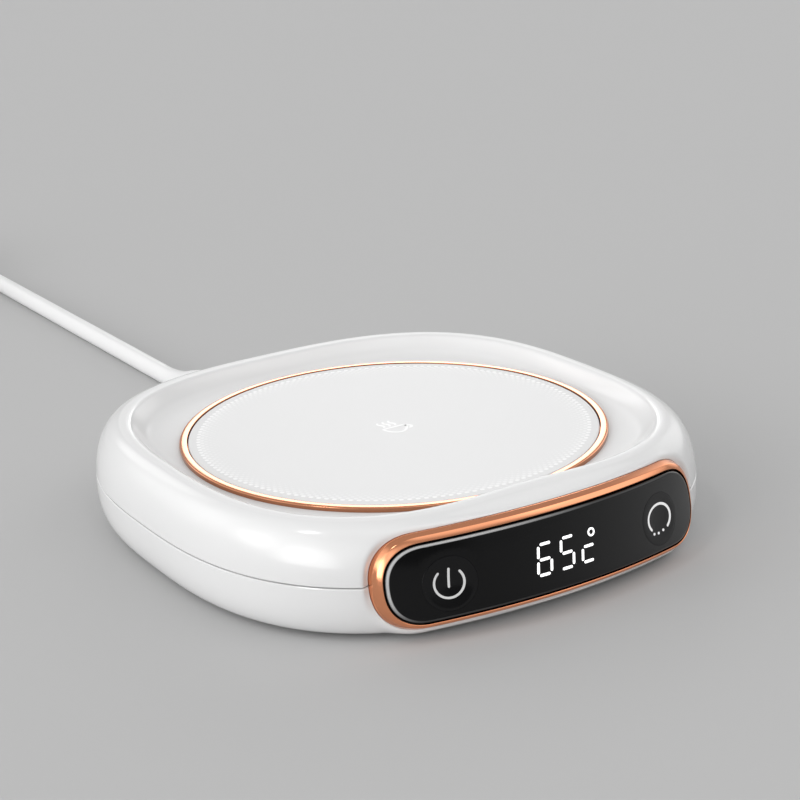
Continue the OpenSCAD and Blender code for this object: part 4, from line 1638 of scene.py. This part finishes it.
    def power_icon(self) -> bpy.types.Object:
        """Builds the lit power sign.

        Returns:
            The piece.
        """
        x, y = self.power_at
        bar = [(x + dx, y + dy) for dx, dy in between(*self.power_bar, 10)]
        paths = (arc(x, y, self.power_r, self.power_r, 132, 400), bar)
        strokes = [Stroke(path, self.power_line) for path in paths]
        return self._draw("power_sign", strokes, self._on_key(-self.key_x))

    def mode_icon(self) -> bpy.types.Object:
        """Builds the lit mode sign: an open circle that ends in three dots.

        Returns:
            The piece.
        """
        x, y = self.mode_at
        paths = [arc(x, y, *self.mode_r, -48, 217)]
        for dx, dy in self.mode_dots:
            paths.append([(x + dx + half, y + dy) for half in (-self.dot_half, self.dot_half)])
        strokes = [Stroke(path, self.mode_line) for path in paths]
        return self._draw("mode_sign", strokes, self._on_key(self.key_x))

    def _bars(self, left: float, lit: Iterable[Segment]) -> list[Stroke]:
        """Gives the lit bars of one digit, whose left side stands at a place along the panel.

        Args:
            left: the place of the digit's left side.
            lit: the bars that are lit.

        Returns:
            Their strokes.
        """
        w, h, gap = self.digit_w, self.digit_h / 2, self.bar_gap
        ends = {
            Segment.TOP: ((gap, h), (w - gap, h)),
            Segment.MIDDLE: ((gap, 0.0), (w - gap, 0.0)),
            Segment.BOTTOM: ((gap, -h), (w - gap, -h)),
            Segment.UPPER_LEFT: ((0.0, gap), (0.0, h - gap)),
            Segment.LOWER_LEFT: ((0.0, -gap), (0.0, gap - h)),
            Segment.UPPER_RIGHT: ((w, gap), (w, h - gap)),
            Segment.LOWER_RIGHT: ((w, -gap), (w, gap - h)),
        }
        slope, strokes = math.tan(math.radians(self.digit_lean)), []
        for segment in lit:
            way = between(*ends[segment], 4)
            path = [(left + x + slope * y, self.mark_y + y) for x, y in way]
            strokes.append(Stroke(path, self.bar))
        return strokes

    def reading(self) -> bpy.types.Object:
        """Builds the lit reading: two digits, a small c and the degree ring.

        Returns:
            The piece.
        """
        s = Segment
        six = (s.TOP, s.UPPER_LEFT, s.MIDDLE, s.LOWER_LEFT, s.LOWER_RIGHT, s.BOTTOM)
        five = (s.TOP, s.UPPER_LEFT, s.MIDDLE, s.LOWER_RIGHT, s.BOTTOM)
        small_c = (s.MIDDLE, s.LOWER_LEFT, s.BOTTOM)
        strokes = []
        for i, lit in enumerate((six, five, small_c)):
            strokes += self._bars(self.digit_left + self.digit_step * i, lit)
        ring = arc(*self.degree_at, self.degree_r, self.degree_r, 0, 345, 23)
        strokes.append(Stroke(ring, self.degree_line, loop=True))
        return self._draw("lit_reading", strokes, lambda x, y, lift: self.panel.on_skin(
            x, y, self.lens_top + lift))

    def build(self, copper: bpy.types.Material, black: bpy.types.Material,
              key_black: bpy.types.Material, light: bpy.types.Material,
              power_light: bpy.types.Material, mode_light: bpy.types.Material) -> None:
        """Builds and dresses the panel's pieces.

        Args:
            copper: the bezel's plating.
            black: the lens's plastic.
            key_black: the keys' plastic.
            light: the reading's light.
            power_light: the power sign's light.
            mode_light: the mode sign's light.
        """
        dress(self.bezel(), copper, "copper_bezel", "warmer", "panel_bezel")
        dress(self.lens(), black, "black_lens", "warmer", "panel_lens")
        for body, at in (("power_key", -self.key_x), ("mode_key", self.key_x)):
            dress(self.key(f"{body}_cap", at), key_black, "black_key", body, body)
        dress(self.power_icon(), power_light, "black_key", "power_key")
        dress(self.mode_icon(), mode_light, "black_key", "mode_key")
        dress(self.reading(), light, "black_lens", "warmer")


# ---------------------------------------------------------------- lead


@dataclass
class Lead:
    """The mains lead: strain relief, free stretch, coil with its tie, and the plug."""

    diameter: float = 5.0
    length: float = 1.2
    exit_y: float = 63.4
    exit_z: float = 7.2
    relief_end: float = 87.4
    relief_r: float = 3.9
    relief_neck: float = 3.3
    relief_lip: float = 0.8
    relief_seat: float = 0.9
    rib_step: float = 3.4
    rib_gap: float = 1.3
    ribs: int = 5
    bore_gap: float = 0.1
    rib_floor: float = 0.4
    rib_round: float = 0.12
    sleeve_thin: float = 0.7
    sleeve_long: float = 22.6
    coil_at: Flat = (-35.0, 280.0)
    coil_mid: float = 27.5
    low_z: float = 3.1
    high_z: float = 8.1
    coil_turns: float = 5.5
    turn_steps: int = 20
    shifts: tuple[Flat, ...] = ((0.75, -1.0), (1.75, -1.0), (3.25, 1.0), (4.25, 1.0))
    rise_at: float = 2.5
    shift_span: float = 0.25
    tie_half_w: float = 7.8
    tie_high: float = 11.3
    tie_t: float = 0.6
    tie_half: float = 2.5
    tie_corner: float = 2.4
    tie_edge: float = 0.12
    plug_at: Flat = (-68.0, 256.0)
    plug_w: float = 22.0
    plug_t: float = 14.0
    neck_r: float = 3.05
    neck_steps: int = 15
    neck_long: float = 15.4
    neck_grow: float = 2.3
    neck_rib: float = 0.32
    grips: int = 6
    grip_at: float = 24.5
    grip_step: float = 2.2

    def _coil(self) -> list[Point]:
        """Gives the coil's points: three turns inward below, then outward on top of them.

        Returns:
            The points.
        """
        (x, y), points = self.coil_at, []
        for i in range(1, int(self.coil_turns * self.turn_steps)):
            turn = i / self.turn_steps
            r = self.coil_mid + self.diameter
            for start, change in self.shifts:
                r += change * self.diameter * self._ease((turn - start) / self.shift_span)
            up = self._ease((turn - self.rise_at) / self.shift_span)
            z = self.low_z + (self.high_z - self.low_z) * up
            points.append((x + r * math.cos(TAU * turn), y + r * math.sin(TAU * turn), z))
        return points

    @staticmethod
    def _ease(t: float) -> float:
        """Rises smoothly from 0 to 1."""
        t = hold(t)
        return t * t * (3 - 2 * t)

    def route(self) -> list[Point]:
        """Gives the lead's whole route, from inside the housing to inside the plug's neck.

        Returns:
            The points, in millimetres.
        """
        out, low, end = self.exit_z, self.diameter / 2, self.relief_end
        free = [(0, y, out) for y in (46, 56, 66, 77, end, end + 2)]
        free += [(0, 93, 6.75), (0, 96.5, 5.9), (0, 101, 4.5), (0, 106, 3.3), (0, 112, 2.6)]
        free += [(0, y, low) for y in (120, 140, 160, 180, 200, 220, 236)]
        free += [(-0.4, 250, 2.6), (-1.4, 264, 2.9), (-2.5, 280, 3.1)]
        tail = [(-67.5, 280, 8.1), (-67.6, 276, 8.1), (-67.8, 272, 8.0), (-68, 268, 7.6),
                (-68, 264, 7.2), (-68, 260, 7.0), (-68, 256, 7.0), (-68, 251, 7.0)]
        return free + self._coil() + tail

    def cord(self, material: bpy.types.Material) -> bpy.types.Object:
        """Builds the cord as one curve.

        Args:
            material: the lead's jacket.

        Returns:
            The piece.
        """
        points = self.route()
        curve = bpy.data.curves.new("mains_lead", "CURVE")
        curve.dimensions, curve.bevel_depth = "3D", self.diameter / 2 * MM
        curve.bevel_resolution, curve.resolution_u, curve.use_fill_caps = 6, 4, True
        spline = curve.splines.new("BEZIER")
        spline.bezier_points.add(len(points) - 1)
        for knot, point in zip(spline.bezier_points, points):
            knot.co = Vector(point) * MM
            knot.handle_left_type = knot.handle_right_type = "AUTO"
        piece = bpy.data.objects.new("mains_lead", curve)
        bpy.context.scene.collection.objects.link(piece)
        return dress(piece, material, "white_lead", "warmer",
                     "cord_entry", "power_cord", "cord_coil")

    def relief(self) -> bpy.types.Object:
        """Builds the strain relief: collar, neck, and a tapered sleeve with ribs on both sides.

        Returns:
            The piece.
        """
        back, inside, bore = self.exit_y, self.exit_y - 2.2, self.diameter / 2 + self.bore_gap
        r, neck, end = self.relief_r, self.relief_neck, self.relief_end
        seat = back - self.relief_seat
        # Radius and place of each step, from the collar inside the housing to the tip.
        outer = [(r, inside - 1.9), (r, inside - 0.4), (neck, inside - 0.4), (neck, seat + 0.05),
                 (r - 0.15, seat + 0.05), (r, seat + 0.2), (r, back + 0.6),
                 (r - 0.2, back + self.relief_lip)]
        start = (r - 0.2, back + 0.9)
        taper = between(start, (start[0] - self.sleeve_thin, start[1] + self.sleeve_long), 10)
        tip = [(self.diameter / 2 + 0.45, end - 0.12), (self.diameter / 2 + 0.25, end)]
        profile = outer + taper + tip + [(bore, end), (bore, inside - 1.9)]
        at = (0.0, 0.0, self.exit_z)
        piece = Skin().lathe(profile, at, 64, along_y=True, closed=True).piece("ribbed_relief")
        slots, floor = Skin(), self.diameter / 2 + self.rib_floor
        for i in range(1, self.ribs + 1):
            y = back + 1 + i * self.rib_step
            for sign in (1, -1):
                z = sorted((self.exit_z + sign * floor, self.exit_z + sign * 6))
                slots.box((-6, y, z[0]), (6, y + self.rib_gap, z[1]))
        carve(piece, slots.piece("slots"))
        round_edges(piece, self.rib_round, 50)
        return piece

    def tie(self) -> bpy.types.Object:
        """Builds the coil's tie: a flat strap with rounded corners and its closed end.

        Returns:
            The piece.
        """
        x, y = self.coil_at[0], self.coil_at[1] + self.coil_mid
        high, thick, half, edge = self.tie_high, self.tie_t, self.tie_half, self.tie_edge

        def outline(grow: float) -> list[Flat]:
            """Gives the strap's outline across the coil, grown outward.

            Args:
                grow: how far it is grown.

            Returns:
                Its points.
            """
            w, r = self.tie_half_w + grow, self.tie_corner + grow
            lo, hi = thick - grow, high - thick + grow
            middles = [(w - r, hi - r), (r - w, hi - r), (r - w, lo + r), (w - r, lo + r)]
            points = []
            for quarter, (cy, cz) in enumerate(middles):
                points += arc(cy, cz, r, r, 90 * quarter, 90 * quarter + 90, 8)
            return points

        inner, bevel, outer = outline(0.0), outline(thick - edge), outline(thick)
        stations = ((-half, inner), (-half, bevel), (-half + edge, outer),
                    (half - edge, outer), (half, bevel), (half, inner))
        rings = [[(x + at, y + p[0], p[1]) for p in shape] for at, shape in stations]
        skin = Skin().rings(rings, Ends.JOINED)
        skin.box((x - half + 0.3, y - 2.2, high - 0.02), (x + half - 0.3, y + 3.4, high + 0.02))
        return skin.piece("lead_tie")

    def plug(self) -> bpy.types.Object:
        """Builds the plug's body: a ribbed neck that widens into a rounded block.

        Returns:
            The piece.
        """
        (x, y), w, t = self.plug_at, self.plug_w / 2, self.plug_t / 2
        # Distance along the plug, half width, half thickness and fullness of each section.
        steps = [(0.0, 2.62, 2.62, 2), (0.0, 2.9, 2.9, 2), (0.25, self.neck_r, self.neck_r, 2)]
        for i in range(1, self.neck_steps):
            s = i / self.neck_steps
            swell = self.neck_rib * (0.5 - 0.5 * math.cos(TAU * i / 3)) * (1 - s)
            r = self.neck_r + self.neck_grow * s ** 1.5 - swell
            steps.append((self.neck_long * s, r, r, 2))
        steps += [(15.8, 5.6, 5.4, 2.1), (16.2, 7.2, 6.0, 2.6), (16.8, 8.9, 6.5, 3.2),
                  (17.8, 10.2, 6.85, 4.0), (19.5, 10.85, t - 0.03, 4.6), (22.0, w, t, 5.0),
                  (30.0, w, t, 5.0), (38.0, w, t, 5.0), (41.2, w - 0.1, t - 0.05, 5.0),
                  (42.3, w - 0.45, t - 0.4, 4.6), (42.85, w - 1.0, t - 0.95, 4.2),
                  (43.0, w - 1.6, t - 1.5, 4.0)]
        rings = []
        for along, half_w, half_t, full in steps:
            ring = []
            for a in spread(0.0, TAU, 72)[:-1]:
                r = squircle(a, half_w, half_t, full)
                ring.append((x + r * math.cos(a), y - along, t + r * math.sin(a)))
            rings.append(ring)
        piece = Skin().rings(rings).piece("plug_shell", 40.0)
        grips = Skin()
        for i in range(self.grips):
            at = y - self.grip_at - self.grip_step * i
            for edge in (x - w, x + w):
                grips.box((edge - 0.35, at - 0.5, t - 4), (edge + 0.35, at + 0.5, t + 4))
        return carve(piece, grips.piece("grips"), sharp=40.0)

    def build(self, white: bpy.types.Material, strap: bpy.types.Material) -> None:
        """Args:
            white: the lead's jacket.
            strap: the tie's plastic.
        """
        cord = self.cord(white)
        relief = dress(self.relief(), white, "white_lead", "warmer", "strain_relief")
        tie = dress(self.tie(), strap, "white_lead", "warmer", "coil_tie")
        plug = dress(self.plug(), white, "white_lead", "warmer", "plug_body")


# ---------------------------------------------------------------- feet and inner parts


@dataclass
class Feet:
    """The four rubber feet in their seats."""

    housing: Housing
    top: float = 1.95
    cup: tuple[Flat, ...] = ((0.0, 0.25), (2.6, 0.25), (3.0, 0.12), (3.4, 0.0))
    rim: tuple[Flat, ...] = ((0.5, 0.0), (0.2, 0.06), (0.04, 0.25), (0.0, 0.5))

    def build(self, rubber: bpy.types.Material) -> None:
        """Builds and dresses the feet.

        Args:
            rubber: the feet's rubber.
        """
        skin, radius = Skin(), self.housing.foot_r
        side = [(radius - inset, z) for inset, z in self.rim]
        profile = [*self.cup, *side, (radius, self.top), (0.0, self.top)]
        for corner in self.housing.corners():
            skin.lathe(profile, corner, 64)
        dress(skin.piece("soft_feet"), rubber, "foot_rubber", "warmer", "rubber_feet")


@dataclass
class Inside:
    """Finishes for the frame's own parts, which keep their shape."""

    edge: float = 0.12

    def build(self, finishes: dict[str, bpy.types.Material]) -> None:
        """Gives each named node its finish and softly rounded edges.

        Args:
            finishes: the finish of each node.
        """
        for node, material in finishes.items():
            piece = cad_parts[node]
            if not piece.data.materials:
                piece.data.materials.append(material)
            for slot in piece.material_slots:
                slot.material = material
            round_edges(piece, self.edge)
            LOG.info("%s takes the finish %s", node, material.name)


# ---------------------------------------------------------------- studio


@dataclass(frozen=True)
class Glow:
    """A soft patch of the studio's sky, bright, or dark where its strength is below 0.

    It stands round a direction, full up to the inner angle and gone at the outer one, in degrees.
    """

    bearing: float
    height: float
    inner: float
    outer: float
    strength: float

    def towards(self) -> Point:
        """Gives its direction."""
        a, e = math.radians(self.bearing), math.radians(self.height)
        return (math.cos(a) * math.cos(e), math.sin(a) * math.cos(e), math.sin(e))


@dataclass
class Studio:
    """Pale floor, soft light and the camera."""

    floor_color: Color = grey(0.53)
    floor_rings: tuple[float, ...] = (0.3, 1.0, 3.0, 9.0, 70.0)
    floor_sides: int = 96
    eye: Point = (-0.200276, -0.327282, 0.158179)
    right: Point = (0.841938, -0.537962, -0.041672)
    up: Point = (0.208638, 0.253358, 0.944606)
    lens: float = 85.006
    sensor: float = 36.0
    clip: Span = (0.01, 200.0)
    sky: float = 0.47
    glows: tuple[Glow, ...] = (
        Glow(150.0, 28.0, 8.0, 30.0, 0.6),
        Glow(180.0, 24.0, 8.0, 30.0, 0.95),
        Glow(210.0, 20.0, 8.0, 30.0, 0.7),
        Glow(240.0, 28.0, 6.0, 22.0, 0.3),
        Glow(168.0, 19.0, 5.0, 15.0, 1.8),
        Glow(200.0, 7.0, 6.0, 24.0, 2.9),
        Glow(255.0, 3.0, 14.0, 26.0, -0.32),
        Glow(300.0, 64.0, 8.0, 32.0, 0.7),
        Glow(330.0, 36.0, 8.0, 30.0, 0.9),
        Glow(20.0, 18.0, 6.0, 24.0, 0.9),
        Glow(58.0, 19.0, 7.0, 10.0, 2.8),
        Glow(130.0, 20.0, 6.0, 24.0, 0.6),
        Glow(97.0, 28.0, 4.0, 14.0, 1.0),
        Glow(179.0, 61.0, 3.0, 6.0, 8.0),
    )

    def camera(self) -> None:
        """Sets the camera."""
        data = bpy.data.cameras.new("camera")
        data.lens, data.sensor_width = self.lens, self.sensor
        data.clip_start, data.clip_end = self.clip
        camera = bpy.data.objects.new("camera", data)
        right = Vector(self.right).normalized()
        back = right.cross(Vector(self.up)).normalized()
        up = back.cross(right)
        turn = Matrix((right, up, back)).transposed()
        camera.matrix_world = Matrix.Translation(self.eye) @ turn.to_4x4()
        bpy.context.scene.collection.objects.link(camera)
        bpy.context.scene.camera = camera

    def floor(self) -> None:
        """Lays the wide round floor."""
        count = self.floor_sides
        points = [(0.0, 0.0, 0.0)]
        points += [(r * c, r * s, 0.0) for r in self.floor_rings for c, s in circle(count)]
        turn = [(i, (i + 1) % count) for i in range(count)]
        faces = [(0, 1 + i, 1 + k) for i, k in turn]
        for a in range(1, 1 + (len(self.floor_rings) - 1) * count, count):
            faces += [(a + i, a + count + i, a + count + k, a + k) for i, k in turn]
        mesh = bpy.data.meshes.new("studio_floor")
        mesh.from_pydata(points, [], faces)
        floor = bpy.data.objects.new("studio_floor", mesh)
        bpy.context.scene.collection.objects.link(floor)
        mesh.materials.append(StudioPaper("floor_paper", self.floor_color).material())
        soften(floor)
        floor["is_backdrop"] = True

    def light(self) -> None:
        """Sets the sky: one even level and its soft patches."""
        world = bpy.data.worlds.new("studio_sky")
        nodes = Nodes("studio_sky", world)
        direction = nodes.value("ShaderNodeTexCoord", output="Generated")
        level: Term = self.sky
        for glow in self.glows:
            inputs = {0: direction, 1: glow.towards()}
            settings = {"operation": "DOT_PRODUCT"}
            facing = nodes.value("ShaderNodeVectorMath", settings, inputs, "Value")
            low, high = (math.cos(math.radians(edge)) for edge in (glow.outer, glow.inner))
            level = facing.ramp(low, high) * glow.strength + level
        inputs = {"Color": grey(1.0), "Strength": level}
        sky = nodes.value("ShaderNodeBackground", None, inputs)
        nodes.add("ShaderNodeOutputWorld", None, {"Surface": sky})
        bpy.context.scene.world = world

    def build(self) -> None:
        """Sets up the studio."""
        self.camera()
        self.floor()
        self.light()
        bpy.context.scene.view_settings.view_transform = "Standard"


def write_sizes() -> None:
    """Gathers the frame's box and the dressed model's box as plain lists, without writing them."""
    boxes = {"cad": CAD_BOX, "visual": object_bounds()}
    plain = {name: [[float(v) for v in corner] for corner in box] for name, box in boxes.items()}


def main() -> None:
    """Builds the studio and every sub-assembly, in order."""
    logging.basicConfig(level=logging.INFO, format="%(message)s")
    Studio().build()

    panel, plate, lead = PanelFrame(), HotPlate(), Lead()
    housing = Housing(panel, plate, lead)
    white = Moulded("housing_white", grey(0.815), 0.3, coat=0.8, flow=0.004, satin_below=20.2)
    lead_white = Moulded("lead_white", grey(0.84), 0.3, flow=0.01)
    strap = Moulded("strap_white", grey(0.74), 0.55, grain_mm=0.05)
    copper = Plated("rose_copper", rgb(0.92, 0.4, 0.22), 0.13, centre_y=plate.centre_y,
                    side_shade=0.45)
    bezel_copper = Plated("rose_copper_bezel", rgb(0.92, 0.38, 0.2), 0.14)
    glass = DottedGlass("dotted_glass", grey(0.85), grey(1.0), plate.centre_y, 42.0)
    ink = Moulded("white_print", grey(0.99), 0.35, flow=0.002)
    black = SmokedPanel("lens_black", rgb(0.003, 0.003, 0.0033), clear_end=0.52, highlight_of=panel)
    key_black = SmokedPanel("key_black", rgb(0.005, 0.005, 0.0055), 0.12)
    lights = [Lit("display_light", 1.0), Lit("power_light", 0.33), Lit("mode_light", 0.47)]
    rubber = Moulded("foot_rubber_grey", grey(0.2), 0.7, grain_mm=0.08)

    lead.build(lead_white.material(), strap.material())
    housing.build(white.material())
    plate.build(copper.material(), glass.material(), ink.material())
    ControlPanel(panel).build(bezel_copper.material(), black.material(), key_black.material(),
                              *(light.material() for light in lights))
    Feet(housing).build(rubber.material())

    steel = Plated("zinc_steel", rgb(0.56, 0.56, 0.57), 0.3, 0.12).material()
    nickel = Plated("plug_nickel", rgb(0.68, 0.66, 0.62), 0.2, 0.1).material()
    alloy = Plated("spreader_alloy", rgb(0.75, 0.76, 0.77), 0.35, 0.2, plate.centre_y).material()
    dark = Moulded("carrier_black", grey(0.02), 0.5, grain_mm=0.05).material()
    ivory = Moulded("connector_ivory", rgb(0.72, 0.68, 0.56), 0.4).material()
    wire = Moulded("wire_jacket", rgb(0.35, 0.03, 0.02), 0.4).material()
    laminate = Board("board_green", rgb(0.01, 0.1, 0.04), rgb(0.03, 0.2, 0.09)).material()
    felt = Felted("mica_felt", rgb(0.62, 0.57, 0.45)).material()
    film = Plated("heater_film", rgb(0.6, 0.32, 0.16), 0.4, 0.2, plate.centre_y).material()
    seal = Moulded("silicone_grey", grey(0.3), 0.6).material()
    Inside().build({
        "plate_seal": seal, "spreader_plate": alloy, "heating_element": film,
        "insulation_pad": felt, "heater_tray": steel, "tray_screws": steel, "thermistor": dark,
        "thermal_fuse": ivory, "heater_leads": wire, "panel_carrier": dark, "key_switches": dark,
        "display_board": laminate, "led_display": ivory, "display_plug": ivory,
        "display_board_screws": steel, "display_ribbon": ivory, "main_board": laminate,
        "main_board_parts": dark, "main_board_screws": steel, "terminal_block": ivory,
        "mains_wires": wire, "cord_clamp": ivory, "clamp_screws": steel, "plug_blades": nickel,
        "housing_screws": steel,
    })
    write_sizes()


if __name__ == "__main__":
    main()
